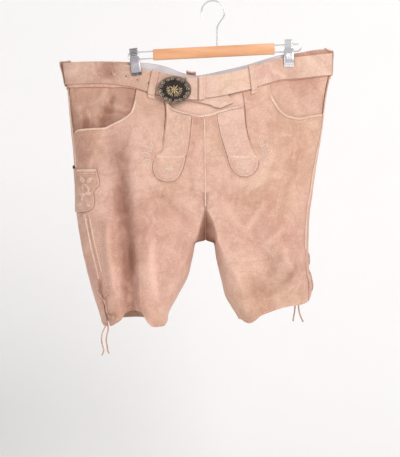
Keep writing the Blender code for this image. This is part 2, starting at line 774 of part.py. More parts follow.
def build_belt(suede):
    sections = []
    for x in (43.0, 38.0, 32.0, 24.0, 15.6, -0.9, -17.4, -35.8, -54.3, -72.7, -91.1, -109.6):
        sections.append(face_ribbon_section(x, STRAP_LOW, x, STRAP_LOW + STRAP, TAIL_UPPER, TAIL_LOWER))
    for side, way in (("right", 1), ("left", -1)):
        stations = waist_stations(side)
        front = [(side, station, "front") for station in reversed(stations[1:])]
        back = [(side, station, "back") for station in stations]
        loop = front + back if side == "right" else back[:-1][::-1] + front[::-1]
        for side_name, station, face in loop:
            sections.extend(belt_section(side_name, station, face))
    top = TOP["front"]

    def bottom(x):
        return TOP["front"](x) - STRAP_WIDTH

    for x in (72.0, 66.0, 61.0, 56.0, 50.0, 34.0, 17.0, 0.0, -15.0, -30.0, -42.0, BAR_X + 2.0):
        low = strap_level(x)
        sections.append(face_ribbon_section(x, low, x, low + STRAP, top, bottom))
    hollow = BAR + 0.4
    middle = STRAP_OVER + STRAP + hollow
    for angle in (-60.0, -20.0, 20.0, 60.0):
        swing = radians(angle)
        thick = hollow + mix(STRAP, RETURN_WALL, (angle + 90.0) / 180.0)
        sections.append(face_ribbon_section(
            BAR_X - thick * cos(swing), middle + thick * sin(swing),
            BAR_X - hollow * cos(swing), middle + hollow * sin(swing), top, bottom))
    for x, low in ((BAR_X + 2.0, middle + hollow), (-46.0, RETURN_LOW + 0.9), (-40.0, RETURN_LOW),
                   (-32.5, RETURN_LOW)):
        sections.append(face_ribbon_section(x, low + RETURN_WALL, x, low, top, bottom))
    wall("belt", [sections], suede)


def belt_section(side, station, face):
    """The strap's section at a station of the waist, or nothing where it is hidden by its own end."""
    if face == "front":
        x = skin(side, station_q(side, station, face, -150.0), -150.0).x
        if -122.0 < x < 78.0:
            return []
    lowered = 0.0 if face == "front" else 2.5 * ease((station[0] - 0.3) / 10.0)
    heights = [lowered + share * STRAP_WIDTH for share in (0.0, 0.5, 1.0)]
    return [[waist_pair(side, station, face, below, STRAP_LOW + STRAP, STRAP_LOW) for below in heights]]


# Belt loops: name, face, x at the top and at the bottom of the belt, width
BELT_LOOPS = (
    ("belt_loop_front_right", "front", -118.6, -128.0, 15.0),
    ("belt_loop_front_left", "front", 79.0, 85.0, 12.0),
    ("belt_loop_back", "back", -45.0, -45.0, 20.0),
)
SIDE_LOOP_BOW = {"right": 5.0, "left": 0.5}
LOOP_TAB = 12.0


def loop_outline(low, rise):
    """Section of a belt loop, as (height below the waist's edge, height over the skin)."""
    top = low + STRAP + LOOP_SLACK
    edge = -TAB_GAP - rise
    inner = [(edge, -LEATHER), (edge, top), (0.5 * STRAP_WIDTH, top), (STRAP_WIDTH + 1.5, top),
             (STRAP_WIDTH + 5.0, TAB_GAP), (STRAP_WIDTH + LOOP_TAB, TAB_GAP)]
    outer = [(edge - LEATHER, -LEATHER), (edge - LEATHER, top + LEATHER),
             (0.5 * STRAP_WIDTH, top + LEATHER), (STRAP_WIDTH + 2.4, top + LEATHER),
             (STRAP_WIDTH + 5.9, TAB_GAP + LEATHER), (STRAP_WIDTH + LOOP_TAB, TAB_GAP + LEATHER)]
    return list(zip(outer, inner))


def build_loops(suede):
    for name, face, x_top, x_bottom, width in BELT_LOOPS:
        rise = 0.0 if face == "front" else 4.0
        columns = []
        for share in (-0.5, -0.2, 0.2, 0.5):
            column = []
            for outer, inner in loop_outline(loop_level(face, x_top), rise):
                spots = []
                for below, height in (outer, inner):
                    x = mix(x_top, x_bottom, clamp(below / STRAP_WIDTH)) + share * width
                    spots.append(on_face(x, TOP[face](x) - below, height, face=face))
                column.append(tuple(spots))
            columns.append(column)
        wall(name, [columns], suede)
    for side in SECTIONS:
        columns = []
        for inwards in (0.35, 1.5, 3.5, 6.5, 10.0, 14.0):
            column = []
            for outer, inner in loop_outline(STRAP_LOW, 0.0):
                spots = []
                for below, height in (outer, inner):
                    bow = SIDE_LOOP_BOW[side] * clamp(1.0 - below / STRAP_WIDTH) if height > 2.0 else 0.0
                    q = sqrt(inwards)
                    z = TOP["back"](skin(side, q, FOLD_TOP[side] - below).x) - below
                    spots.append(raised(side, q, z, height + bow))
                column.append(tuple(spots))
            columns.append(column)
        wall(f"belt_loop_side_{side}", [columns], suede)


def loop_level(face, x):
    return strap_level(x) if face == "front" and x > 0.0 else STRAP_LOW


def build_keeper(suede):
    """A band round the folded end of the strap."""
    low, high = STRAP_OVER - 0.6, RETURN_LOW + RETURN_WALL + 0.6
    top, bottom = -0.6, STRAP_WIDTH + 0.6
    middle = 0.5 * STRAP_WIDTH
    inner = [(top, low), (top, high), (middle, high), (bottom, high), (bottom, low), (middle, low),
             (top, low)]
    grow = 1.2
    outer = [(top - grow, low - grow), (top - grow, high + grow), (middle, high + grow),
             (bottom + grow, high + grow), (bottom + grow, low - grow), (middle, low - grow),
             (top - grow, low - grow)]
    columns = []
    for x in (-29.0, -22.0, -15.5):
        top = TOP["front"](x)
        columns.append([(on_face(x, top - a[0], a[1]), on_face(x, top - b[0], b[1]))
                        for a, b in zip(outer, inner)])
    wall("belt_keeper", [columns], suede)


# ---------------------------------------------------------------- pieces laid on the fronts

def strip(name, route, half_width, low, high, material, lift=None):
    """A narrow rounded strip along points (x, z) of the front."""
    spots = []
    for x, z in route:
        side = side_at(x, z)
        q = q_at(side, x, z)
        rise = lift(x, z) if lift else 0.0
        spots.append((skin(side, q, z), outward(side, q, z), rise))
    shoulder = mix(low, high, 0.6)
    section = ((-1.0, low), (-1.0, shoulder), (-0.45, high), (0.45, high), (1.0, shoulder), (1.0, low))
    rows = []
    for i, (point, normal, rise) in enumerate(spots):
        along = spots[min(i + 1, len(spots) - 1)][0] - spots[max(i - 1, 0)][0]
        across = normal.cross(along).normalized() * half_width
        rows.append([point + across * share + normal * (height + rise) for share, height in section])
    points = [point for ring in rows for point in ring]
    count = len(section)
    faces = []
    for i in range(len(rows) - 1):
        for j in range(count):
            a, b = i * count + j, i * count + (j + 1) % count
            faces.append((a, b, b + count))
            faces.append((a, b + count, a + count))
    last = (len(rows) - 1) * count
    faces.extend((0, j + 1, j) for j in range(1, count - 1))
    faces.extend((last, last + j, last + j + 1) for j in range(1, count - 1))
    return mesh_object(name, points, faces, material)


def panel_edge(side):
    """Points of the pocket's edge at the front panel's own columns."""
    points = []
    for share in outer_columns(side)[:11]:
        z = SLIT_TOP
        x = 0.0
        for _ in range(5):
            seam = skin(side, seam_q(side, z, 0.0), z).x
            x = mix(seam, slit_edge(side, z, False), share)
            z = panel_top(side, x)
        points.append((x, z))
    return points


def pushed_in(points, distance, side):
    """The same line moved down into the panel."""
    moved = []
    for i, (x, z) in enumerate(points):
        ahead = points[min(i + 1, len(points) - 1)]
        behind = points[max(i - 1, 0)]
        dx, dz = ahead[0] - behind[0], ahead[1] - behind[1]
        length = hypot(dx, dz)
        sign = MIDDLE_WARD[side]
        moved.append((x + sign * dz / length * distance, z - sign * dx / length * distance))
    return moved


def build_pockets(suede, shade):
    for side in SECTIONS:
        edge = panel_edge(side)
        welt = pushed_in(edge, 2.4, side)[1:-1]
        strip(f"pocket_welt_{side}", welt, 2.3, LAY_GAP + 0.5, 1.8, suede,
              lift=lambda x, z, side=side: pocket_gape(side, x, z))
        build_facing(side, shade)


def build_facing(side, shade):
    """The leather behind the pocket opening, tucked under its neighbours."""
    sign = MIDDLE_WARD[side]
    columns = []
    for share in (0.0, 0.06, 0.14, 0.26, 0.4, 0.52, 0.64, 0.76, 0.88, 1.0):
        column = []
        for row in (0.0, 0.12, 0.3, 0.5, 0.7, 0.86, 1.0):
            z = -210.0
            for _ in range(4):
                seam = skin(side, seam_q(side, z, 0.0), z).x + 0.5 * sign
                corner = POCKET_LINES[side][-1 if side == "right" else 0][0] + 16.0 * sign
                x = mix(seam, corner, share)
                top = band_edge("front", x) + 9.0
                bottom = POCKET[side](x) - 16.0
                z = mix(top, min(bottom, top - 30.0), row)
            dent = FACING_DENT[side] * sin(pi * clamp(share / 1.1)) * sin(pi * row) ** 2
            crease = FACING_DENT[side] * 0.8 * 2.718 ** (-((x - FACING_CREASE[side]) / 11.0) ** 2)
            deep = TUCK + dent + crease * sin(pi * row) ** 2
            column.append(pair(side, q_at(side, x, z), z, -deep, -deep - LEATHER + 0.2))
        columns.append(column)
    wall(f"pocket_facing_{side}", [columns], shade)


FACING_DENT = {"right": 5.0, "left": 2.5}
FACING_CREASE = {"right": -213.0, "left": 170.0}


def build_fly(suede):
    """The underlay that shows between the belt and the fall."""
    columns = []
    for i in range(13):
        share = i / 12.0
        column = []
        x = mix(-118.0, 82.0, share)
        for row in (0.0, 0.17, 0.34, 0.5, 0.67, 0.84, 1.0):
            z = mix(band_edge("front", x) + 9.0, FLY_BOTTOM, row)
            column.append(on_face(x, z, -FLY_TUCK, -FLY_TUCK - LEATHER + 0.2))
        columns.append(column)
    wall("fly_underlay", [columns], suede)


def outline_patch(name, rows, high, low, material, lift, columns=5):
    """A patch between two edges, given as rows (z, x at one edge, x at the other)."""
    grid = []
    for z, x_a, x_b in rows:
        row = []
        for i in range(columns):
            x = mix(x_a, x_b, i / (columns - 1))
            rise = lift(x, z)
            row.append(on_face(x, z, high + rise, low + rise))
        grid.append(row)
    wall(name, [grid], material)


def build_fall_trim(suede):
    for side in SECTIONS:
        edges = column_lines(TONGUES[side], ("z", "slit", "middle"))
        grid = []
        for share in (*ROW_SHARES, 0.0, None):
            row = []
            for j in range(6):
                z = SLIT_END - 13.5 if share is None else mix(SLIT_END, -232.0, share)
                for _ in range(4):
                    x = mix(edges["slit"](z), edges["middle"](z), j / 5.0)
                    if share is not None:
                        z = mix(SLIT_END, FLAP(x), share) - (6.0 if share == 1.0 else 0.0)
                rise = flap_lift(z) + LAY_GAP + 0.3
                row.append(on_face(x, z, rise + LEATHER - 0.2, rise))
            grid.append(row)
        wall(f"flap_tongue_{side}", [grid], suede)
        outline_patch(f"tongue_tip_{side}", TONGUE_TIPS[side], LAY_GAP + LEATHER, LAY_GAP, suede,
                      lambda x, z: flap_lift(z))
    edge = []
    for side in ("right", "left"):
        part = []
        for share in (*INNER_COLUMNS, None):
            z = -230.0
            for _ in range(5):
                _, end, shelf, _ = level(side, z)
                lip = end - MIDDLE_WARD[side] * shelf
                x = end if share is None else mix(lip, slit_edge(side, z, True), share)
                z = FLAP(x)
            part.append((x, z - 2.4))
        edge += part if side == "right" else part[:-1][::-1]
    edge = [edge[0]] + [point for point in edge[1:-1] if abs(point[0] - CROTCH_X) > 6.0] + [edge[-1]]
    edge[0] = (edge[0][0] + 2.5, edge[0][1] - 1.0)
    edge[-1] = (edge[-1][0] - 2.5, edge[-1][1])
    strip("flap_top_binding", edge, 2.2, LAY_GAP + 0.1, 1.6, suede, lift=lambda x, z: flap_lift(z))
    centre = [(level("right", z)[1] - 0.01, z) for z in (-246.0, -262.0, -285.0, *LEVELS[:4], -426.0)]
    strip("centre_front_welt", centre, 1.6, LAY_GAP + 0.1, 1.3, suede, lift=lambda x, z: flap_lift(z))


def seam_route(side, levels):
    return [(skin(side, seam_q(side, z, 0.5), z).x, z) for z in levels]


def build_side_trim(suede, horn):
    upper = (-196.0, -214.0, -232.0, -255.0, -283.0, -311.0, -326.0, -344.0)
    strip("side_welt_right_upper", seam_route("right", upper), 2.0, 0.5, 1.5, suede)
    lower = (-443.0, -455.0, -475.0, -488.0, -503.0, -515.0, -540.0, -560.0, -576.0)
    strip("side_welt_right_lower", seam_route("right", lower), 2.0, 0.5, 1.5, suede)
    left = (-200.0, -214.0, -232.0, -255.0, -283.0, *LEVELS[:8], -503.0, -514.0)
    strip("side_welt_left", seam_route("left", left), 2.0, 0.9, 1.9, suede)
    build_knife_pocket(suede)
    build_button(horn)


def build_knife_pocket(suede):
    grid = []
    for z in (-349.5, -354.0, -361.0, -370.0, -379.0, -388.0, -397.0, -405.0, -416.0, -427.0,
              -433.5, -437.5):
        q_edge = q_at("right", KNIFE_EDGE(z), z)
        q_back = 2.2
        rows = []
        for share in (0.0, 0.14, 0.28, 0.42, 0.56, 0.7, 0.85, 1.0):
            q = mix(q_edge, q_back, share)
            rows.append(pair("right", q, z, 1.0 + LEATHER - 0.2, 1.0))
        grid.append(rows)
    wall("knife_pocket", [grid], suede)


def build_button(horn):
    """A small domed button of dark horn on the side fold."""
    q, z = -0.9, -344.5
    base = raised("right", q, z, LAY_GAP + 0.2)
    normal = outward("right", q, z)
    bpy.ops.mesh.primitive_uv_sphere_add(segments=16, ring_count=8, radius=1.0)
    button = bpy.context.object
    button.name = "side_button"
    button.scale = (4.2 * MM, 4.2 * MM, 1.6 * MM)
    button.rotation_mode = "QUATERNION"
    button.rotation_quaternion = normal.to_track_quat("Z", "Y")
    button.location = (base + normal * 1.9) * MM
    move_to_parts(button, horn)


def move_to_parts(item, material):
    for collection in list(item.users_collection):
        collection.objects.unlink(item)
    PARTS.objects.link(item)
    item.data.name = item.name
    item.data.materials.append(material)
    item.data.shade_smooth()
    item.data.set_sharp_from_angle(angle=radians(35.0))


# ---------------------------------------------------------------- hem laces

LACE = 1.5
LACE_HEIGHT = LACE + 0.4


def lace_route(side, spots, steps=3):
    """spots: (x, z, height over the skin), on the front face."""
    return rounded_route([on_face(x, z, height) for x, z, height in spots], steps)


RIGHT_LACE_OVER = ((-214.5, -603.0, LACE_HEIGHT), (-219.0, -609.5, 3.4), (-224.5, -617.0, 3.4),
                   (-230.0, -624.5, 2.2))
RIGHT_LACE_DOWN = ((-238.0, -598.0, LACE_HEIGHT), (-234.0, -604.0, 5.2), (-227.5, -611.0, 7.6),
                   (-221.5, -618.5, 6.4), (-220.0, -630.0, 2.6), (-218.5, -642.0, LACE_HEIGHT),
                   (-213.0, -652.0, 2.4), (-206.5, -655.5, LACE_HEIGHT))
RIGHT_KNOT = (-216.5, -664.5)
RIGHT_ENDS = (
    ((0.0, 0.0, 0.0), (-1.5, -1.5, -6.0), (-5.5, -2.0, -14.0), (-8.0, -1.0, -22.0),
     (-9.0, 0.0, -33.0), (-7.0, 0.5, -45.0), (-4.5, 0.5, -55.0), (-8.0, 0.5, -65.0)),
    ((0.0, 0.0, 0.0), (0.8, 2.5, -6.0), (0.5, 3.5, -14.0), (-2.0, 4.0, -24.0),
     (-3.0, 4.2, -35.0), (-1.0, 4.2, -46.0), (0.0, 4.2, -55.0), (3.0, 4.0, -62.0)),
)
LEFT_LOOP = ((2.2, -520.0), (0.8, -526.0), (0.3, -534.0), (0.6, -543.0), (1.8, -551.0))
LEFT_RUN = ((1.8, -558.0), (0.6, -566.0), (0.2, -576.0), (0.2, -588.0), (0.6, -598.0), (1.8, -605.0))
LEFT_KNOT_X = 174.0
LEFT_KNOT_Z = -612.0
LEFT_ENDS = (
    ((0.0, 0.0, 0.0), (-0.5, 0.5, -7.0), (-1.0, 0.0, -15.0), (-1.5, -1.0, -23.0),
     (-2.5, -1.5, -32.0), (-4.5, -1.5, -43.0), (-5.5, -1.5, -51.0)),
    ((0.0, 0.0, 0.0), (2.0, -1.5, -6.0), (2.5, -3.5, -14.0), (2.5, -5.0, -23.0),
     (4.5, -5.5, -34.0), (8.0, -5.5, -44.0), (12.0, -5.5, -52.0)),
)


def build_laces(leather):
    wire("lace_right_over", lace_route("right", RIGHT_LACE_OVER), LACE, leather)
    wire("lace_right_down", lace_route("right", RIGHT_LACE_DOWN, 2), LACE, leather)
    knot = on_face(*RIGHT_KNOT, 3.8)
    build_knot("lace_knot_right", knot, leather)
    build_ends("lace_end_right", knot, RIGHT_ENDS, leather)
    for name, spots in (("lace_left_loop", LEFT_LOOP), ("lace_left_run", LEFT_RUN)):
        route = [raised("left", q, z, LACE_HEIGHT) for q, z in spots]
        wire(name, rounded_route(route, 2), LACE, leather)
    knot = on_face(LEFT_KNOT_X, LEFT_KNOT_Z, 3.7, face="back")
    build_knot("lace_knot_left", knot, leather)
    build_ends("lace_end_left", knot, LEFT_ENDS, leather)


def build_knot(name, centre, leather):
    bpy.ops.mesh.primitive_ico_sphere_add(subdivisions=2, radius=1.0)
    knot = bpy.context.object
    knot.name = name
    knot.scale = (4.2 * MM, 3.2 * MM, 3.4 * MM)
    knot.location = centre * MM
    move_to_parts(knot, leather)


def build_ends(name, knot, ends, leather):
    """Two free lace ends that hang from the underside of a knot."""
    for number, offsets in enumerate(ends, 1):
        start = knot + Vector((-1.8 if number == 1 else 1.8, 0.0, -3.8))
        route = [start + Vector(offset) for offset in offsets]
        wire(f"{name}_{number}", rounded_route(route, 2), LACE, leather)


# ---------------------------------------------------------------- buckle

def buckle_frame():
    """Turns the buckle's flat drawing (x, out, y) into place."""
    return (Matrix.Translation(Vector(BUCKLE_CENTRE) * MM)
            @ Matrix.Rotation(radians(BUCKLE_TURN), 4, "Z")
            @ Matrix.Rotation(radians(BUCKLE_ROLL), 4, "Y"))


def turned_oval(name, profile, material, segments=40):
    """A turned disc, squeezed to the buckle's oval; profile is (radius share, height out)."""
    mesh = bpy.data.meshes.new(name)
    half = 0.5 * BUCKLE_SIZE[0] * MM
    points = [(share * half, 0.0, height * MM) for share, height in profile]
    mesh.from_pydata(points, [(i, i + 1) for i in range(len(points) - 1)], [])
    item = add_object(name, mesh, material)
    screw = item.modifiers.new("Turn", "SCREW")
    screw.steps = screw.render_steps = segments
    screw.use_merge_vertices = True
    screw.merge_threshold = 0.00005
    screw.use_normal_calculate = True
    squeeze = Matrix.Diagonal((1.0, BUCKLE_SIZE[1] / BUCKLE_SIZE[0], 1.0, 1.0))
    item.matrix_world = buckle_frame() @ Matrix.Rotation(radians(90.0), 4, "X") @ squeeze
    return item


def oval_ring(count, radius_share):
    """Points of the buckle's oval in the x-z plane; radius_share is a function of the angle."""
    ring = []
    for i in range(count):
        angle = 2.0 * pi * i / count
        share = radius_share(angle)
        ring.append((0.5 * BUCKLE_SIZE[0] * share * cos(angle), 0.5 * BUCKLE_SIZE[1] * share * sin(angle)))
    return ring


def flat_ring(name, outer, inner, back, front, material):
    """A closed band between two rings of points, from one height out to another."""
    points, faces = [], []
    frame = buckle_frame()
    for ring, height in ((outer, front), (inner, front), (inner, back), (outer, back)):
        points.extend((frame @ (Vector((x, -height, y)) * MM)) / MM for x, y in ring)
    count = len(outer)
    for k in range(4):
        for i in range(count):
            a, b = k * count + i, k * count + (i + 1) % count
            c, d = (k + 1) % 4 * count + (i + 1) % count, (k + 1) % 4 * count + i
            faces.extend(((a, b, c), (a, c, d)))
    return mesh_object(name, points, faces, material)


def raised_figure(name, outline, back, front, peak, material):
    """A closed relief with a raised middle over a flat outline."""
    frame = buckle_frame()
    count = len(outline)
    points = [(x, -front, y) for x, y in outline] + [(x, -back, y) for x, y in outline]
    points += [(0.0, -peak, 0.0), (0.0, -back, 0.0)]
    faces = []
    for i in range(count):
        j = (i + 1) % count
        faces.extend(((i, j, 2 * count), (j + count, i + count, 2 * count + 1),
                      (i, i + count, j + count), (i, j + count, j)))
    points = [(frame @ (Vector(point) * MM)) / MM for point in points]
    return mesh_object(name, points, faces, material)


def build_buckle(enamel, gold, silver):
    turned_oval("buckle_plate", ((0.0, 0.0), (0.88, 0.0), (0.88, 2.5), (0.6, 2.9), (0.0, 3.0)), enamel)
    rim_inner = oval_ring(42, lambda angle: 0.892)
    rim_outer = oval_ring(42, lambda angle: 1.0)
    flat_ring("buckle_rim", rim_outer, rim_inner, 0.0, 3.6, gold)
    scroll_outer = oval_ring(56, lambda angle: 0.87)
    scroll_inner = oval_ring(56, lambda angle: 0.745 + 0.05 * cos(14.0 * angle))
    flat_ring("buckle_scrolls", scroll_outer, scroll_inner, 3.2, 4.1, silver)
    petals = []
    for i in range(32):
        angle = 2.0 * pi * i / 32
        reach = 0.36 + 0.11 * cos(8.0 * angle)
        petals.append((0.5 * BUCKLE_SIZE[0] * reach * cos(angle),
                       0.5 * BUCKLE_SIZE[1] * (reach + 0.05) * sin(angle)))
    raised_figure("buckle_flower", petals, 3.2, 4.0, 5.2, gold)
    build_buckle_back(enamel)


def build_buckle_back(metal):
    """The bar inside the strap's fold and the peg that goes into the strap's hole."""
    edge = TOP["front"](BAR_X)
    height = STRAP_OVER + STRAP + BAR + 0.4
    top, middle, bottom = [on_face(BAR_X, edge - below, height)
                           for below in (-1.4, 0.5 * STRAP_WIDTH, STRAP_WIDTH + 1.4)]
    plate = [(buckle_frame() @ (Vector((x, 1.2, z)) * MM)) / MM for x, z in ((14.0, 21.0), (14.0, -18.0))]
    past_fold = Vector((-8.0, -1.0, 0.6))
    route = [plate[0], top + past_fold, top, middle, bottom,
             bottom + Vector((past_fold.x, past_fold.y, -past_fold.z)), plate[1]]
    wire("buckle_bar", route, BAR, metal)
    root = (buckle_frame() @ (Vector((-22.0, 0.8, 2.0)) * MM)) / MM
    tip = on_face(root.x, root.z, STRAP_LOW + STRAP + 0.9)
    wire("buckle_hook", [root, tip], 1.6, metal)


# ---------------------------------------------------------------- hanger

def bar_frame():
    return Matrix.Translation(Vector(BAR_CENTRE) * MM) @ Matrix.Rotation(radians(-BAR_TILT), 4, "Y")


def on_bar(along, out, up):
    return (bar_frame() @ (Vector((along, out, up)) * MM)) / MM


def build_hanger(wood, chrome):
    bpy.ops.mesh.primitive_cube_add(size=1.0)
    bar = bpy.context.object
    bar.name = "hanger_bar"
    bar.data.transform(Matrix.Diagonal((BAR_LENGTH * MM, BAR_DEPTH * MM, BAR_HEIGHT * MM, 1.0)))
    rounding = bar.modifiers.new("Rounding", "BEVEL")
    rounding.width = 1.8 * MM
    rounding.segments = 2
    bar.matrix_world = bar_frame()
    move_to_parts(bar, wood)

    circle_z = HOOK_WIRE - HOOK_RADIUS
    stem_x = 8.3
    foot = on_bar(stem_x - BAR_CENTRE[0], 0.0, 0.5 * BAR_HEIGHT).z + LAY_GAP + 0.2
    route = [(stem_x, 0.0, foot), (stem_x, 0.0, mix(foot, -53.0, 0.5)), (stem_x + 0.2, 0.0, -56.0),
             (11.5, 0.0, -48.0), (16.5, 0.0, -40.0)]
    for angle in range(-30, 211, 15):
        turn = radians(angle)
        route.append((HOOK_RADIUS * cos(turn), 0.0, circle_z + HOOK_RADIUS * sin(turn)))
    wire("hanger_hook", route, HOOK_WIRE, chrome)

    for side, sign, reach in (("right", -1.0, 178.0), ("left", 1.0, 181.0)):
        start = 0.5 * BAR_LENGTH + LAY_GAP
        bow = [(start, 7.3), (reach - 7.3, 7.3), (reach - 4.0, 6.3), (reach - 1.2, 3.6), (reach, 0.0),
               (reach - 1.2, -3.6), (reach - 4.0, -6.3), (reach - 7.3, -7.3), (start, -7.3)]
        wire(f"hanger_wire_{side}", [on_bar(sign * along, 0.0, up) for along, up in bow], WIRE, chrome)
    for side in SECTIONS:
        build_clip(side, chrome)


# Clips: foot of the jaws and lean
CLIPS = {"right": ((-158.0, -153.3), 8.0), "left": ((158.0, -135.5), 0.5)}
JAW_PROFILE = ((0.0, 7.0), (2.5, 7.2), (6.0, 9.4), (16.0, 10.0), (26.0, 8.6), (36.0, 4.6), (39.0, 3.0),
               (41.0, 2.6), (43.0, 1.85), (45.0, 2.5), (47.0, 1.85), (49.0, 2.7), (50.5, 2.6),
               (52.0, 4.0), (53.5, 3.9), (56.0, 6.0))


def build_clip(side, chrome):
    (foot_x, foot_z), lean = CLIPS[side]
    turn = Matrix.Rotation(radians(-lean), 4, "Y")
    for face, sign in (("front", -1.0), ("back", 1.0)):
        grid = []
        for up, out in JAW_PROFILE:
            half = 0.5 * (CLIP_WIDTH if up < 36.0 else CLIP_WIDTH - 3.4)
            row = []
            for share in (-1.0, 1.0):
                spots = []
                for depth in (out + CLIP_SHEET, out):
                    spot = turn @ Vector((share * half, sign * depth, up))
                    spots.append(Vector((foot_x, 0.0, foot_z)) + spot)
                row.append(tuple(spots))
            grid.append(row)
        wall(f"clip_{side}_{face}", [grid], chrome)


# ---------------------------------------------------------------- the whole

clear_scene()
PARTS = bpy.data.collections.new("lederhosen_on_clip_hanger")
bpy.context.scene.collection.children.link(PARTS)

SUEDE = make_material("sand_suede", (0.72, 0.46, 0.34), 0.95)
SUEDE_SHADE = make_material("pocket_suede", (0.5, 0.29, 0.21), 0.95)
LACE_LEATHER = make_material("lace_leather", (0.55, 0.33, 0.24), 0.8)
LINING = make_material("pale_lining", (0.75, 0.72, 0.74), 0.8)
HORN = make_material("dark_horn", (0.08, 0.05, 0.04), 0.4)
ENAMEL = make_material("black_enamel", (0.03, 0.02, 0.02), 0.35)
GOLD = make_material("old_gold", (0.45, 0.33, 0.17), 0.4, 1.0)
SILVER = make_material("old_silver", (0.5, 0.44, 0.36), 0.4, 1.0)
WOOD = make_material("hanger_wood", (0.72, 0.38, 0.18), 0.5)
CHROME = make_material("chrome", (0.75, 0.75, 0.77), 0.2, 1.0)

build_legs(SUEDE)
build_waistband(SUEDE, LINING)
build_belt(SUEDE)
build_keeper(SUEDE)
build_loops(SUEDE)
build_pockets(SUEDE, SUEDE_SHADE)
build_fly(SUEDE)
build_fall_trim(SUEDE)
build_side_trim(SUEDE, HORN)
build_laces(LACE_LEATHER)
build_buckle(ENAMEL, GOLD, SILVER)
build_hanger(WOOD, CHROME)
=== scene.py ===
"""Suede lederhosen on a clip hanger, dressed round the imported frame.

Each operator makes one piece or one group of like pieces, and the panel in the sidebar lists them.
Lengths are in millimetres until a mesh is made, +Z is up, the front faces -Y, the wearer's right is
at -X, and the origin is the inside top of the hook. Every sewn piece lies on one skin, the outer
face of the garment, worked out from the sections below; q is the signed square root of the distance
from the side fold, below zero on the front and above zero on the back.
"""

import json
from bisect import bisect_right
from functools import lru_cache
from math import atan2, copysign, cos, hypot, pi, radians, sin, sqrt

import bmesh
import bpy
from bpy.props import FloatProperty, FloatVectorProperty, IntProperty, PointerProperty
from bpy.types import Operator, Panel, PropertyGroup
from mathutils import Matrix, Vector, noise

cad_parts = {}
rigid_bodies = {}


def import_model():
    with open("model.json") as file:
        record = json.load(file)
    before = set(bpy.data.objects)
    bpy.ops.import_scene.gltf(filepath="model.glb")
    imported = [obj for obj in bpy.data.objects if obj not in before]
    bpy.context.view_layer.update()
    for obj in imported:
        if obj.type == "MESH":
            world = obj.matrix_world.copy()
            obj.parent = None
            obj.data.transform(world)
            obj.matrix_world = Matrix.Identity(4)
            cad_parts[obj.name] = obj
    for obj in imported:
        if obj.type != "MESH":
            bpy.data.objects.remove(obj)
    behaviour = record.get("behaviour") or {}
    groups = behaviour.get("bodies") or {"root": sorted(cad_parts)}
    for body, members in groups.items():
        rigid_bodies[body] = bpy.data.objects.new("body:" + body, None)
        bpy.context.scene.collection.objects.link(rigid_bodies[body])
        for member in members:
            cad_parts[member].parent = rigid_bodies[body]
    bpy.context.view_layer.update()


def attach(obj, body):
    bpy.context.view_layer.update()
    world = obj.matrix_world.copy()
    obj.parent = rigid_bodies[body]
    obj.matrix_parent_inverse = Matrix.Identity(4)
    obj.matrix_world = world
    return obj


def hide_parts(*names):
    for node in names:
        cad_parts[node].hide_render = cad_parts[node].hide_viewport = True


bl_info = {
    "name": "Lederhosen on a Clip Hanger",
    "version": (1, 0, 0),
    "blender": (4, 5, 0),
    "location": "3D View > Sidebar > Lederhosen",
    "description": "Makes the suede panels, belt, buckle, laces, stitching and hanger",
    "category": "Add Mesh",
}

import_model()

MM = 0.001

# ---------------------------------------------------------------- sizes shared with the solids

# Walls and gaps
LEATHER = 1.6
SEAM_GAP = 0.4
LAY_GAP = 0.3
TAB_GAP = 0.8
LOOP_SLACK = 1.3
LINING_WALL = 0.8
STRAP = 2.8
TUCK = 2.4
FLY_TUCK = 3.2
FLY_BOTTOM = -322.0

# Waist
WAISTBAND = 52.0
WAIST_SEAM = {"front": 1.0, "back": 1.8}
STRAP_WIDTH = 45.0
GRIP_DEPTH = 22.0
EASE_DEPTH = 110.0

# Crotch: where the centre seams leave the front and the back, and where all four legs' panels meet
CROTCH_X = -15.0
CROTCH_Y = 15.0
CROTCH_Z = -497.0
SEAM_LEAVES = {"front": -434.0, "back": -465.0}

# Front fall
SLIT_END = -311.0
SLIT_TOP = -205.0
SLIT_OPEN = 3.6
FLAP_LIFT = 3.0

# Hem slits
HEM_ZONE = -590.0
HEM_SLIT_OPEN = {"right": 4.6, "left": 1.8}

# Hanger
WIRE = 1.5
HOOK_WIRE = 1.7
HOOK_RADIUS = 23.9
BAR_LENGTH = 253.0
BAR_HEIGHT = 23.0
BAR_DEPTH = 12.0
BAR_CENTRE = (1.8, 0.0, -104.6)
BAR_TILT = 2.87
CLIP_WIDTH = 20.0
CLIP_SHEET = 1.2

# Buckle
BUCKLE_CENTRE = (-79.5, -28.5, -185.0)
BUCKLE_SIZE = (72.5, 56.8)
BUCKLE_ROLL = 6.0
BUCKLE_TURN = -13.0

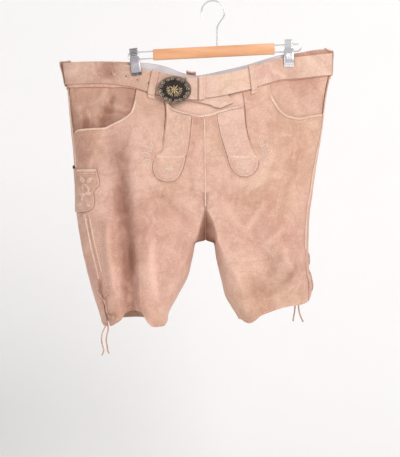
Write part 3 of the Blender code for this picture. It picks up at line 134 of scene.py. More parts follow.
# One row for each level of a side; x of the side fold, distance of the side seam in front of it,
# x of the inner outline of the leg and x of the inner end of the panel
SECTION_COLUMNS = ("z", "fold", "seam", "lip", "end")
SECTIONS = {
    "right": (
        (-120.0, -311.0, 2.5, -25.0, -17.0),
        (-178.0, -303.5, 2.5, -25.5, -17.5),
        (-229.0, -299.0, 2.5, -26.0, -18.0),
        (-271.0, -294.5, 3.7, -25.5, -17.5),
        (-324.0, -290.0, 4.2, -25.0, -17.0),
        (-361.0, -287.0, 5.0, -24.5, -16.5),
        (-402.0, -285.0, 8.5, -24.0, -16.0),
        (-434.0, -284.5, 17.0, -18.8, -15.6),
        (-465.0, -281.0, 20.0, -24.6, -15.3),
        (-490.0, -277.0, 21.0, -31.6, -15.0),
        (-497.0, -275.5, 21.0, -34.0, -15.0),
        (-503.0, -274.5, 21.0, -39.5, -35.5),
        (-526.0, -269.8, 21.5, -45.0, -41.0),
        (-571.0, -259.5, 22.5, -56.0, -52.0),
        (-610.0, -248.5, 19.5, -75.6, -71.6),
        (-654.0, -234.5, 15.0, -96.6, -92.6),
        (-690.0, -226.0, 14.0, -99.0, -95.0),
    ),
    "left": (
        (-95.0, 246.0, 2.5, -9.0, -17.0),
        (-153.0, 244.0, 2.5, -9.5, -17.5),
        (-181.0, 238.5, 2.5, -9.5, -17.5),
        (-207.0, 234.5, 2.5, -10.0, -18.0),
        (-266.0, 227.0, 3.0, -9.5, -17.5),
        (-312.0, 220.5, 5.0, -9.0, -17.0),
        (-355.0, 214.0, 6.5, -8.5, -16.5),
        (-413.0, 205.5, 7.5, -7.8, -15.8),
        (-434.0, 202.5, 8.0, -12.2, -15.6),
        (-449.0, 201.4, 8.0, -7.0, -15.4),
        (-465.0, 200.2, 8.0, -1.6, -15.2),
        (-490.0, 199.0, 8.0, 3.0, -15.0),
        (-497.0, 198.8, 8.0, 3.8, -15.0),
        (-503.0, 198.6, 8.0, 5.6, 1.6),
        (-531.0, 198.6, 7.5, 11.0, 7.0),
        (-569.0, 201.5, 7.5, 19.6, 15.6),
        (-586.0, 205.5, 7.5, 23.5, 19.5),
        (-609.0, 204.7, 6.5, 29.0, 25.0),
        (-647.0, 200.0, 6.0, 51.0, 47.0),
        (-690.0, 194.0, 6.0, 72.0, 68.0),
    ),
}

# Half thickness of the garment below the waist, and the rounding of its folds
DEPTH_COLUMNS = ("z", "front", "back", "inner_y", "inner_round")
DEPTHS = (
    (-120.0, 22.0, 22.0, 15.0, 16.0),
    (-184.0, 27.0, 25.0, 15.0, 16.0),
    (-226.0, 34.0, 35.0, 15.0, 16.0),
    (-267.0, 41.0, 43.0, 15.0, 16.0),
    (-309.0, 48.0, 50.0, 15.0, 16.0),
    (-350.0, 52.0, 56.0, 15.0, 16.0),
    (-434.0, 58.0, 61.0, 15.0, 3.6),
    (-497.0, 58.0, 60.0, 15.0, 6.0),
    (-530.0, 57.0, 59.0, 12.0, 15.0),
    (-600.0, 55.0, 57.0, 8.0, 32.0),
    (-690.0, 53.0, 55.0, 6.0, 40.0),
)

# Rounding of the side fold against the height below the belt's top edge
FOLD_ROUND = ((0.0, 14.0), (52.0, 17.0), (100.0, 46.0), (160.0, 82.0), (250.0, 100.0),
              (380.0, 88.0), (470.0, 68.0), (560.0, 60.0))
FOLD_TOP = {"right": -128.0, "left": -107.5}

# Half thickness at the waist's edge: pinched by the clips, slack between them
WAIST_SLACK = ((-314.0, 9.0), (-230.0, 7.5), (-190.0, 4.0), (-161.0, 3.0), (-130.0, 5.0),
               (-90.0, 14.0), (-38.0, 21.0), (15.0, 22.0), (60.0, 17.0), (110.0, 7.0),
               (140.0, 3.6), (158.0, 3.0), (180.0, 4.0), (215.0, 7.5), (250.0, 9.0))

# Edge lines, x against z
TOP_LINES = {
    "front": ((-314.0, -128.0), (-233.0, -126.0), (-190.5, -130.0), (-164.0, -134.5),
              (-125.0, -146.0), (-80.0, -155.0), (-37.4, -161.0), (-14.0, -157.5),
              (15.6, -153.0), (66.0, -141.0), (83.0, -136.0), (112.0, -126.0),
              (142.0, -118.0), (170.0, -116.0), (250.0, -107.5)),
    "back": ((-314.0, -128.0), (-296.0, -125.5), (-235.0, -124.0), (-150.0, -127.0),
             (-114.0, -131.0), (-89.0, -138.0), (-66.6, -146.6), (-38.0, -153.0),
             (-14.6, -150.0), (14.6, -143.7), (56.0, -134.8), (85.0, -127.0),
             (118.6, -117.0), (147.7, -110.0), (168.5, -108.0), (228.0, -99.0),
             (250.0, -107.5)),
}
# Depth of the waistband's lower edge below its top edge, against x
BAND_LINES = {
    "front": ((-330.0, 52.0), (-215.0, 52.0), (-185.0, 47.6), (-150.0, 46.6), (260.0, 46.6)),
    "back": ((-330.0, 52.0), (175.0, 52.0), (214.0, 47.4), (234.0, 46.6), (260.0, 46.6)),
}
HEM_LINES = {
    "front right": ((-236.0, -664.0), (-230.5, -668.0), (-225.0, -674.0), (-214.0, -674.0),
                    (-200.0, -668.0), (-187.0, -660.0), (-180.0, -649.0), (-169.0, -641.0),
                    (-157.0, -645.0), (-147.0, -655.0), (-135.5, -667.0), (-116.5, -675.0),
                    (-99.5, -673.5), (-94.0, -664.0)),
    "back right": ((-236.0, -664.0), (-230.5, -668.0), (-200.0, -660.0), (-160.0, -657.0),
                   (-120.0, -661.0), (-94.0, -664.0)),
    "front left": ((57.0, -660.0), (62.0, -665.0), (69.0, -667.5), (87.4, -661.0),
                   (112.7, -647.5), (134.0, -638.5), (155.0, -632.7), (180.5, -629.5),
                   (197.4, -623.0), (204.7, -609.0)),
    "back left": ((57.0, -660.0), (80.0, -659.0), (130.0, -640.0), (180.0, -628.0),
                  (197.4, -622.0), (204.7, -609.0)),
}
POCKET_LINES = {
    "right": ((-300.0, -281.0), (-290.0, -275.0), (-277.5, -267.0), (-254.0, -265.0),
              (-224.0, -264.0), (-211.7, -258.0), (-190.5, -247.5), (-171.0, -232.0),
              (-165.0, -216.0), (-159.5, -188.0)),
    "left": ((118.0, -179.0), (121.0, -194.0), (131.7, -215.0), (140.0, -228.0),
             (155.0, -239.0), (176.0, -243.5), (205.5, -238.0), (232.0, -233.0)),
}
FLAP_TOP = ((-103.0, -203.0), (-98.8, -204.0), (-88.6, -222.0), (-46.0, -235.0),
            (-27.0, -239.0), (-14.0, -237.5), (11.0, -230.5), (36.6, -223.0), (66.0, -217.0))
SLIT_LINES = {
    "right": ((-690.0, -142.0), (-590.0, -132.0), (-475.0, -118.0), (-311.0, -105.5),
              (-233.0, -98.5), (-200.0, -101.0)),
    "left": ((-690.0, 128.0), (-590.0, 112.0), (-475.0, 98.0), (-311.0, 81.5), (-283.0, 73.0),
             (-255.0, 67.5), (-232.0, 66.0), (-190.0, 60.5)),
}
POCKET_CORNER = {"right": 0.716, "left": 0.68}

# Tongue outlines: z, x of the edge at the slit, x of the edge towards the middle
TONGUES = {
    "right": ((-209.0, -96.5, -44.0), (-240.0, -95.5, -45.0), (-276.0, -98.5, -48.0),
              (-311.0, -103.5, -52.4), (-324.5, -117.5, -56.5)),
    "left": ((-215.0, 62.5, 8.0), (-240.0, 64.0, 9.0), (-276.0, 69.0, 15.6),
             (-311.0, 80.5, 26.0), (-324.5, 90.0, 30.0)),
}
TONGUE_TIPS = {
    "right": ((-325.0, -118.0, -56.6), (-334.0, -122.5, -58.5), (-346.0, -124.5, -61.5),
              (-357.0, -122.0, -66.0), (-366.0, -116.5, -71.0), (-372.0, -109.0, -77.5),
              (-375.5, -98.0, -85.0)),
    "left": ((-325.0, 90.3, 30.1), (-334.0, 92.5, 32.3), (-342.0, 92.6, 34.8),
             (-350.0, 89.5, 39.0), (-357.0, 84.5, 44.5), (-362.0, 77.5, 51.5),
             (-365.0, 70.0, 59.0)),
}
KNIFE_POCKET = ((-349.5, -240.0), (-356.0, -239.0), (-368.0, -236.0), (-379.0, -234.0),
                (-389.0, -240.5), (-397.0, -246.5), (-412.0, -244.5), (-427.0, -246.0),
                (-433.5, -252.0), (-437.5, -263.0))

# Folds: face, depth inwards, half width, and the line they run along
FOLDS = (
    ("front", 18.0, 15.0, ((-190.0, -345.0), (-186.0, -413.0), (-181.0, -475.0), (-172.0, -560.0),
                           (-168.0, -720.0))),
    ("front", 6.0, 20.0, ((-194.0, -272.0), (-193.0, -330.0), (-189.0, -400.0), (-186.0, -450.0))),
    ("front", -5.0, 17.0, ((-140.0, -450.0), (-134.0, -560.0), (-128.0, -720.0))),
    ("front", -5.0, 15.0, ((-216.0, -430.0), (-210.0, -540.0), (-204.0, -720.0))),
    ("front", 3.0, 16.0, ((-140.0, -395.0), (-85.0, -428.0), (-45.0, -470.0))),
    ("front", -3.0, 15.0, ((132.0, -425.0), (105.0, -465.0), (80.0, -505.0))),
    ("front", -3.0, 14.0, ((158.0, -455.0), (130.0, -490.0), (104.0, -530.0))),
    ("front", 6.0, 20.0, ((150.0, -515.0), (112.0, -560.0), (84.0, -610.0))),
    ("front", -3.5, 14.0, ((40.0, -520.0), (52.0, -570.0), (60.0, -625.0))),
    ("back", 9.0, 22.0, ((-190.0, -260.0), (-178.0, -420.0), (-165.0, -560.0), (-160.0, -720.0))),
    ("back", 6.0, 20.0, ((-95.0, -300.0), (-100.0, -430.0), (-112.0, -560.0))),
    ("back", 9.0, 22.0, ((130.0, -250.0), (125.0, -420.0), (118.0, -560.0), (116.0, -720.0))),
    ("back", 6.0, 20.0, ((60.0, -310.0), (62.0, -430.0), (68.0, -560.0))),
)

# Levels of the rows that the front and back panels share along the side seams
LEVELS = (-311.0, -342.0, -373.0, -404.0, -434.0, -457.0, -477.0, -490.0, -497.0, -503.0,
          -520.0, -545.0, -570.0, HEM_ZONE)

# Rows of the fronts between their top edge and the end of the slits
ROW_SHARES = (1.0, 0.72, 0.46, 0.22)

MIDDLE_WARD = {"right": 1.0, "left": -1.0}
FACE_WARD = {"front": -1.0, "back": 1.0}


# ---------------------------------------------------------------- numbers

def clamp(value, low=0.0, high=1.0):
    return max(low, min(high, value))


def ease(value):
    value = clamp(value)
    return value * value * (3.0 - 2.0 * value)


def arc(value):
    """Height of a quarter circle of radius 1 that starts upright at 0."""
    return sqrt(1.0 - (1.0 - clamp(value)) ** 2)


def mix(low, high, share):
    return low + (high - low) * share


def bell(*distances):
    """1 at no distance, falling off smoothly on all sides."""
    return 2.718 ** -sum(distance ** 2 for distance in distances)


def smooth_line(points):
    """A function through the points that never swings past them."""
    points = sorted(points)
    keys = [point[0] for point in points]
    values = [point[1] for point in points]
    steps = [b - a for a, b in zip(keys, keys[1:])]
    rises = [(b - a) / step for a, b, step in zip(values, values[1:], steps)]
    slopes = [rises[0]]
    for before, after in zip(rises, rises[1:]):
        slopes.append(2.0 * before * after / (before + after) if before * after > 0.0 else 0.0)
    slopes.append(rises[-1])

    def value_at(key):
        key = clamp(key, keys[0], keys[-1])
        i = min(bisect_right(keys, key), len(keys) - 1) - 1
        t = (key - keys[i]) / steps[i]
        return (values[i] * (1.0 + 2.0 * t) * (1.0 - t) ** 2
                + slopes[i] * steps[i] * t * (1.0 - t) ** 2
                + values[i + 1] * t * t * (3.0 - 2.0 * t)
                + slopes[i + 1] * steps[i] * t * t * (t - 1.0))

    return value_at


def column_lines(rows, names):
    """One function of the rows' first column for each other column."""
    return {name: smooth_line([(row[0], row[i]) for row in rows])
            for i, name in enumerate(names) if i}


SIDE = {side: column_lines(rows, SECTION_COLUMNS) for side, rows in SECTIONS.items()}
DEPTH = column_lines(DEPTHS, DEPTH_COLUMNS)
FOLD_RADIUS = smooth_line(FOLD_ROUND)
SLACK = smooth_line(WAIST_SLACK)
TOP = {face: smooth_line(line) for face, line in TOP_LINES.items()}
BAND = {face: smooth_line(line) for face, line in BAND_LINES.items()}
HEM = {name: smooth_line(line) for name, line in HEM_LINES.items()}
POCKET = {side: smooth_line(line) for side, line in POCKET_LINES.items()}
FLAP = smooth_line(FLAP_TOP)
SLIT = {side: smooth_line(line) for side, line in SLIT_LINES.items()}
KNIFE_EDGE = smooth_line(KNIFE_POCKET)


# ---------------------------------------------------------------- the skin

def face_of(q):
    return "front" if q < 0.0 else "back"


@lru_cache(maxsize=None)
def level(side, z):
    """Fold x, inner end x, shelf width and inner rounding of one side at height z."""
    lines = SIDE[side]
    end = lines["end"](z)
    return lines["fold"](z), end, abs(end - lines["lip"](z)), DEPTH["inner_round"](z)


def relief(face, x, z):
    """Depth of the drape folds at a point of one face."""
    total = 0.0
    for fold_face, depth, half_width, line in FOLDS:
        if fold_face != face:
            continue
        best = None
        pieces = len(line) - 1
        for i, ((xa, za), (xb, zb)) in enumerate(zip(line, line[1:])):
            dx, dz = xb - xa, zb - za
            t = clamp(((x - xa) * dx + (z - za) * dz) / (dx * dx + dz * dz))
            away = hypot(x - xa - t * dx, z - za - t * dz)
            if best is None or away < best[0]:
                best = (away, (i + t) / pieces)
        away, along = best
        if away < 3.0 * half_width:
            total += (depth * bell(away / half_width)
                      * ease(along / 0.25) * ease((1.0 - along) / 0.15))
    return total


def band_edge(face, x):
    """Height of the waistband's lower edge."""
    return TOP[face](x) - BAND[face](x)


def half_depth(face, x, z):
    """How far the face stands from the middle plane, away from its folds."""
    below = TOP[face](x) - z
    slack = SLACK(x)
    return slack + (DEPTH[face](z) - slack) * ease((below - GRIP_DEPTH) / EASE_DEPTH)


def seam_y(face, end, z):
    """Where a panel's inner end stands: on the face, on the crotch curve, or inside the leg."""
    towards = FACE_WARD[face]
    on_face = towards * half_depth(face, end, z)
    leaves = SEAM_LEAVES[face]
    if z >= leaves:
        return on_face
    if z > CROTCH_Z:
        share = (z - CROTCH_Z) / (leaves - CROTCH_Z)
        return mix(CROTCH_Y, on_face, share ** 1.4 if face == "front" else arc(share))
    return DEPTH["inner_y"](z)


def skin(side, q, z):
    """A point of the garment's outer face."""
    face = face_of(q)
    fold, end, shelf, inner_round = level(side, z)
    width = abs(end - fold)
    inwards = min(q * q, width)
    x = fold + MIDDLE_WARD[side] * inwards
    towards = FACE_WARD[face]
    radius = FOLD_RADIUS(FOLD_TOP[side] - z)
    out = half_depth(face, x, z) - relief(face, x, z) * arc(inwards / 60.0)
    y = towards * out * arc(inwards / radius)
    from_end = width - inwards
    if z < SEAM_LEAVES[face] + 30.0 and from_end < shelf + inner_round:
        y_end = seam_y(face, end, z)
        flat = towards * half_depth(face, fold + MIDDLE_WARD[side] * (width - shelf), z)
        y_lip = y_end + mix(0.15, 0.5, ease((CROTCH_Z - z) / 12.0)) * (flat - y_end)
        if from_end < shelf:
            y = mix(y_end, y_lip, from_end / shelf)
        else:
            y = mix(y_lip, y, arc((from_end - shelf) / inner_round))
    return Vector((x, y, z))


def outward(side, q, z):
    """The skin's unit normal; front and back share it where they meet below the crotch."""
    fold, end, _, _ = level(side, z)
    width = abs(end - fold)
    if z <= CROTCH_Z and q * q > width - 0.25:
        reach = sqrt(width)
        return (one_normal(side, reach, z) + one_normal(side, -reach, z)).normalized()
    return one_normal(side, q, z)


def one_normal(side, q, z):
    across = skin(side, q + 0.02, z) - skin(side, q - 0.02, z)
    upright = skin(side, q, z + 0.5) - skin(side, q, z - 0.5)
    return (across.cross(upright) * -MIDDLE_WARD[side]).normalized()


def q_at(side, x, z, face="front"):
    """The skin coordinate of the point of a face at x."""
    inwards = max((x - level(side, z)[0]) * MIDDLE_WARD[side], 0.0)
    return copysign(sqrt(inwards), FACE_WARD[face])


def side_at(x, z):
    return "right" if x < level("right", z)[1] else "left"


def seam_inset(side, face, z):
    """Distance in x that leaves half the seam gap at a panel's inner end."""
    fold, end, shelf, _ = level(side, z)
    width = abs(end - fold)
    near = skin(side, FACE_WARD[face] * sqrt(width - 0.1 * shelf), z)
    step = (near - skin(side, FACE_WARD[face] * sqrt(width), z)).length
    return 0.5 * SEAM_GAP * 0.1 * shelf / step


# ---------------------------------------------------------------- settings

def colour_setting(name, description, default):
    return FloatVectorProperty(name=name, description=description, subtype="COLOR", size=3,
                               min=0.0, max=1.0, default=default)


def length_setting(name, description, low, high, default):
    return FloatProperty(name=name, description=description, subtype="DISTANCE",
                         min=low, max=high, default=default)


class LederhosenSuede(PropertyGroup):
    """Colours and grain of the leather."""
    light: colour_setting("Light suede", "Where the nap is brushed up", (0.70, 0.45, 0.355))
    deep: colour_setting("Deep suede", "Where the nap is rubbed flat", (0.565, 0.315, 0.235))
    # The colour that painted shade darkens the suede towards
    shade: colour_setting("Shaded suede", "Mauve brown of the handled side and the pocket",
                          (0.30, 0.14, 0.095))
    edge: colour_setting("Edge suede", "Cut and turned edges", (0.78, 0.575, 0.465))
    wrinkle: length_setting("Wrinkles", "Height of the small folds in the leather",
                            0.0, 0.004, 0.0011)


class LederhosenStitching(PropertyGroup):
    """The sewing thread."""
    pitch: length_setting("Stitch pitch", "Distance from one stitch to the next",
                          0.001, 0.01, 0.0034)
    length: length_setting("Stitch length", "Thread that shows between two holes",
                           0.001, 0.01, 0.0027)
    thickness: length_setting("Thread thickness", "Radius of the thread", 0.0001, 0.001, 0.00042)
    colour: colour_setting("Thread colour", "Waxed thread", (0.86, 0.66, 0.54))


class LederhosenBuckle(PropertyGroup):
    """The buckle's ornament."""
    scrolls: IntProperty(
        name="Scrolls", description="Pairs of scrolls round the rim", min=4, max=24, default=8)
    petals: IntProperty(
        name="Petals", description="Petals of the flower", min=5, max=12, default=8)


class LederhosenStage(PropertyGroup):
    """Backdrop and camera."""
    backdrop: colour_setting("Backdrop", "Wall and floor", (0.95, 0.945, 0.94))
    distance: length_setting("Camera distance", "From the camera to the middle of the garment",
                             1.0, 20.0, 5.0)
    width: length_setting("Width in view", "How much the picture takes in from side to side",
                          0.3, 3.0, 0.832)


def settings(name):
    return getattr(bpy.context.scene, f"lederhosen_{name}")


# ---------------------------------------------------------------- finishes

@lru_cache(maxsize=None)
def finish(name):
    """The named finish, made the first time it is asked for."""
    return FINISHES[name](name)


def fill(tree, node, inputs):
    """Links or sets a node's inputs."""
    for name, value in inputs.items():
        if isinstance(value, bpy.types.NodeSocket):
            tree.links.new(value, node.inputs[name])
        else:
            node.inputs[name].default_value = value


def add_node(tree, kind, inputs, output=0, **modes):
    """A new node with its modes and inputs; returns one of its outputs."""
    node = tree.nodes.new(kind)
    for mode, value in modes.items():
        setattr(node, mode, value)
    fill(tree, node, inputs)
    return node.outputs[output]


class Paint:
    """A material in the making."""

    def __init__(self, name, colour, roughness, metallic=0.0):
        self.material = bpy.data.materials.new(name)
        self.material.use_nodes = True
        self.material.diffuse_color = (*colour, 1.0)
        self.tree = self.material.node_tree
        self.set({"Base Color": (*colour, 1.0), "Roughness": roughness, "Metallic": metallic})

    def set(self, inputs):
        fill(self.tree, self.tree.nodes["Principled BSDF"], inputs)

    def grain(self, scale, detail=3.0, stretch=(1.0, 1.0, 1.0), offset=(0.0, 0.0, 0.0), twist=0.0,
              turn=0.0):
        """Noise on the piece's own coordinates, stretched after a turn in the front's plane."""
        place = add_node(self.tree, "ShaderNodeTexCoord", {}, "Object")
        placed = add_node(self.tree, "ShaderNodeMapping", {
            "Vector": place, "Scale": stretch, "Location": offset, "Rotation": (0.0, turn, 0.0)})
        return add_node(self.tree, "ShaderNodeTexNoise", {
            "Vector": placed, "Scale": scale, "Detail": detail, "Distortion": twist}, "Fac")

    def spread(self, value, low, high, to_low=0.0, to_high=1.0):
        """Stretches part of a value's range over another."""
        return add_node(self.tree, "ShaderNodeMapRange", {
            "Value": value, "From Min": low, "From Max": high, "To Min": to_low, "To Max": to_high})

    def blend(self, factor, first, second, kind="MIX"):
        first, second = [tone if isinstance(tone, bpy.types.NodeSocket) else (*tone, 1.0)
                         for tone in (first, second)]
        return add_node(self.tree, "ShaderNodeMix", {0: factor, 6: first, 7: second}, 2,
                        data_type="RGBA", blend_type=kind)

    def sums(self, operation, first, second=0.5):
        return add_node(self.tree, "ShaderNodeMath", {0: first, 1: second}, operation=operation)

    def roughen(self, *layers):
        """Bumps stacked on each other; layers are (value, distance in metres, strength)."""
        below = {}
        for value, distance, strength in layers:
            bump = add_node(self.tree, "ShaderNodeBump", {
                "Height": value, "Distance": distance, "Strength": strength, **below})
            below = {"Normal": bump}
        self.set(below)

    def threshold(self, value, width, strength):
        """Thin lines where a value passes its middle."""
        size = self.sums("ABSOLUTE", self.sums("SUBTRACT", value))
        return self.spread(size, 0.0, width, strength, 0.0)


def toned(colour, share):
    return tuple(min(1.0, share * part) for part in colour)


def between(first, second, share):
    return tuple(mix(a, b, share) for a, b in zip(first, second))


def suede_finish(name, light, deep, start=0.0, drift=0.0):
    """Napped leather: clouds, brushed streaks, scuffs and a fine fibre, painted darker towards the
    shade colour where the shaded attribute is above zero and painted lighter where it is below.
    """
    paint = Paint(name, light, 0.95)
    clouds = paint.grain(8.0, 4.0, (1.0, 1.0, 0.8), (drift, 0.0, 0.0), 0.7)
    brushed = paint.grain(26.0, 6.0, (1.0, 1.0, 0.6), (0.3, drift, 0.7), 1.3, 0.5)
    mottle = paint.grain(75.0, 5.0, (1.0, 1.0, 0.8), (drift, 0.6, 0.1), 0.8)
    scuffs = paint.grain(13.0, 4.0, (1.0, 1.0, 0.4), (0.8, 0.2, drift), 1.8, -0.7)
    creases = paint.grain(17.0, 3.0, (0.5, 1.0, 1.0), (0.1, drift, 0.5), 1.2, 0.8)
    fibre = paint.grain(420.0, 5.0, (1.0, 1.0, 0.8), (0.9, 0.4, 0.2))
    pale, worn = toned(light, 1.1), toned(deep, 0.82)
    colour = paint.blend(paint.spread(clouds, 0.4, 0.62), light, deep)
    for value, low, high, amount, tone in (
            (brushed, 0.5, 0.7, 0.6, deep), (brushed, 0.46, 0.3, 0.6, pale),
            (mottle, 0.52, 0.72, 0.4, deep), (mottle, 0.46, 0.28, 0.4, pale)):
        colour = paint.blend(paint.spread(value, low, high, 0.0, amount), colour, tone)
    for value, tone in ((scuffs, pale), (creases, worn)):
        colour = paint.blend(paint.threshold(value, 0.05, 0.3), colour, tone)
    hues = paint.grain(7.0, 2.0, (1.0, 1.0, 1.0), (drift, 2.0, 4.0))
    hue = paint.blend(paint.spread(hues, 0.38, 0.62), (1.0, 0.98, 1.0), (1.0, 1.012, 0.965))
    colour = paint.blend(1.0, colour, hue, "MULTIPLY")
    # rubbed holds the shaded point attribute, which carries painted shade and painted highlight
    rubbed = add_node(paint.tree, "ShaderNodeAttribute", {}, "Fac", attribute_name="shaded")
    # painted highlight where the attribute is below zero
    colour = paint.blend(paint.spread(rubbed, 0.0, -0.5), colour, toned(light, 1.16))
    # painted shade towards the shade colour where it is above zero, patchy with the brushed noise
    shaded = paint.sums("MULTIPLY", paint.spread(rubbed, 0.0, 1.0, start, 1.0),
                         paint.spread(brushed, 0.3, 0.62, 0.6, 1.25))
    colour = paint.blend(shaded, colour, settings("suede").shade)
    speckle = paint.spread(fibre, 0.3, 0.7, 0.86, 1.08)
    tint = add_node(paint.tree, "ShaderNodeCombineColor",
                    {part: speckle for part in ("Red", "Green", "Blue")}, "Color")
    paint.set({"Base Color": paint.blend(1.0, colour, tint, "MULTIPLY"), "Sheen Weight": 0.2,
               "Sheen Roughness": 0.6, "Sheen Tint": (1.0, 0.86, 0.78, 1.0),
               "Specular IOR Level": 0.15})
    paint.roughen((creases, 0.006, 0.35), (brushed, 0.004, 0.4), (mottle, 0.0014, 0.4),
                  (fibre, 0.0004, 0.5))
    return paint.material


def sand_suede(name):
    return suede_finish(name, settings("suede").light, settings("suede").deep)


def belt_suede(name):
    """The strap's suede, a little paler than the fronts."""
    suede = settings("suede")
    return suede_finish(name, between(suede.light, suede.edge, 0.55),
                        between(suede.deep, suede.edge, 0.35), 0.02, 1.7)


def flap_suede(name):
    """The tongues' suede, paler than the fronts."""
    suede = settings("suede")
    light = between(suede.light, suede.edge, 0.35)
    return suede_finish(name, light, between(suede.deep, light, 0.45), 0.0, 3.1)


def pocket_suede(name):
    return suede_finish(name, settings("suede").light, settings("suede").deep, 0.0, 5.3)


def edge_suede(name):
    return suede_finish(name, settings("suede").edge, settings("suede").light, 0.0, 0.9)


def lace_leather(name):
    """Smooth round lace with a dry, cracked surface."""
    paint = Paint(name, (0.5, 0.3, 0.2), 0.62)
    worn = paint.grain(160.0, 4.0)
    cracks = paint.grain(700.0, 3.0, (1.0, 1.0, 0.3))
    paint.set({"Base Color": paint.blend(paint.spread(worn, 0.35, 0.68),
                                         (0.66, 0.41, 0.30), (0.42, 0.23, 0.155)),
               "Roughness": paint.spread(worn, 0.3, 0.7, 0.5, 0.8)})
    paint.roughen((cracks, 0.0003, 0.5))
    return paint.material


def pale_lining(name):
    """Plain woven cotton."""
    paint = Paint(name, (0.72, 0.70, 0.73), 0.85)
    place = add_node(paint.tree, "ShaderNodeTexCoord", {}, "Object")
    threads = [add_node(paint.tree, "ShaderNodeTexWave",
                        {"Vector": place, "Scale": 420.0, "Distortion": 0.6}, "Fac",
                        bands_direction=direction) for direction in ("X", "Z")]
    soft = paint.grain(30.0, 3.0)
    colour = paint.blend(paint.spread(soft, 0.3, 0.7), (0.78, 0.76, 0.78), (0.62, 0.60, 0.64))
    colour = paint.blend(paint.spread(threads[0], 0.0, 1.0, 0.0, 0.2), colour, (0.5, 0.48, 0.52))
    paint.set({"Base Color": colour, "Sheen Weight": 0.15})
    paint.roughen(*((thread, 0.0002, 0.4) for thread in threads))
    return paint.material


def grained(name, roughness, grain, span, first, second, bump=None, sheen=0.0):
    """A colour grained with a second one; bump is (distance in metres, strength)."""
    paint = Paint(name, first, roughness)
    value = paint.grain(*grain)
    paint.set({"Base Color": paint.blend(paint.spread(value, *span), first, second),
               "Sheen Weight": sheen})
    if bump:
        paint.roughen((value, *bump))
    return paint.material


def waxed_thread(name):
    return grained(name, 0.6, (900.0, 2.0), (0.3, 0.7), settings("stitching").colour,
                   settings("suede").light, (0.0002, 0.4))


def pale_thread(name):
    """Embroidery silk, a little lighter than the leather under it."""
    suede = settings("suede")
    silk = tuple(min(1.0, 0.5 * (a + b)) for a, b in zip(suede.edge, suede.light))
    return grained(name, 0.6, (500.0, 3.0), (0.3, 0.7), silk, suede.edge, (0.0003, 0.5),
                   0.3)


def dark_horn(name):
    paint = Paint(name, (0.05, 0.035, 0.03), 0.3)
    streaks = paint.grain(260.0, 4.0, (1.0, 1.0, 0.3))
    paint.set({"Base Color": paint.blend(paint.spread(streaks, 0.4, 0.7),
                                         (0.035, 0.024, 0.02), (0.16, 0.1, 0.07))})
    paint.roughen((streaks, 0.0001, 0.3))
    return paint.material


def metal_finish(name, colour, patina, roughness, scale=260.0, bite=0.6):
    """A metal whose hollows hold darker patina."""
    paint = Paint(name, colour, roughness, 1.0)
    wear = paint.grain(scale, 4.0)
    paint.set({"Base Color": paint.blend(paint.spread(wear, 0.4, 0.75, 0.0, bite), colour, patina),
               "Roughness": paint.spread(wear, 0.3, 0.7, roughness - 0.06, roughness + 0.12)})
    paint.roughen((wear, 0.0001, 0.3))
    return paint.material


def black_enamel(name):
    """Dark enamel, pitted and browned in places."""
    paint = Paint(name, (0.02, 0.012, 0.01), 0.5)
    pits = paint.grain(520.0, 3.0)
    cloud = paint.grain(120.0, 3.0)
    paint.set({"Base Color": paint.blend(paint.spread(cloud, 0.35, 0.7),
                                         (0.012, 0.008, 0.007), (0.045, 0.026, 0.019)),
               "Roughness": paint.spread(pits, 0.3, 0.7, 0.4, 0.65), "Specular IOR Level": 0.3})
    paint.roughen((pits, 0.0002, 0.4))
    return paint.material


def hanger_wood(name):
    """Lacquered beech with its grain along the bar."""
    paint = Paint(name, (0.80, 0.42, 0.18), 0.4)
    years = paint.grain(60.0, 4.0, (0.12, 1.0, 1.0))
    pores = paint.grain(500.0, 3.0, (0.05, 1.0, 1.0), (0.2, 0.5, 0.1))
    colour = paint.blend(paint.spread(years, 0.35, 0.68), (0.82, 0.42, 0.22), (0.64, 0.29, 0.13))
    colour = paint.blend(paint.spread(pores, 0.55, 0.75, 0.0, 0.35), colour, (0.4, 0.18, 0.07))
    paint.set({"Base Color": colour, "Coat Weight": 0.4, "Coat Roughness": 0.2})
    paint.roughen((pores, 0.0002, 0.25))
    return paint.material


def grip_rubber(name, fresh=(0.09, 0.085, 0.09), dusty=(0.2, 0.19, 0.2)):
    return grained(name, 0.8, (400.0, 3.0), (0.4, 0.7), fresh, dusty, (0.0002, 0.4))


def backdrop_paint(name):
    tone = settings("stage").backdrop
    return grained(name, 0.9, (6.0, 3.0), (0.3, 0.7, 0.0, 0.3), tone, toned(tone, 0.97))


FINISHES = {
    "sand_suede": sand_suede,
    "pocket_suede": pocket_suede,
    "edge_suede": edge_suede,
    "belt_suede": belt_suede,
    "flap_suede": flap_suede,
    "lace_leather": lace_leather,
    "pale_lining": pale_lining,
    "waxed_thread": waxed_thread,
    "pale_thread": pale_thread,
    "dark_horn": dark_horn,
    "black_enamel": black_enamel,
    "old_gold": lambda name: metal_finish(name, (0.82, 0.66, 0.42), (0.2, 0.12, 0.06), 0.36),
    "old_silver": lambda name: metal_finish(name, (0.72, 0.60, 0.49), (0.10, 0.07, 0.05), 0.3),
    "rim_bronze": lambda name: metal_finish(name, (0.38, 0.27, 0.20), (0.09, 0.06, 0.045), 0.34),
    "hanger_wood": hanger_wood,
    "chrome": lambda name: metal_finish(name, (0.80, 0.80, 0.82), (0.5, 0.5, 0.53), 0.16,
                                        90.0, 0.3),
    # painted shade: a darker, rougher copy of the chrome for the shaded clip
    "clip_steel": lambda name: metal_finish(name, (0.50, 0.48, 0.50), (0.34, 0.32, 0.34), 0.42,
                                            90.0, 0.5),
    "grip_rubber": grip_rubber,
    # painted light: a pale copy of the grip rubber for the lit clip
    "pale_rubber": lambda name: grip_rubber(name, (0.72, 0.72, 0.74), (0.60, 0.60, 0.61)),
    "backdrop_paint": backdrop_paint,
}


# ---------------------------------------------------------------- making pieces


def take_in(piece, nodes=()):
    """Lets a piece ride on the garment and stand for its solids."""
    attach(piece, "root")
    if nodes:
        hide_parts(*nodes)
    return piece


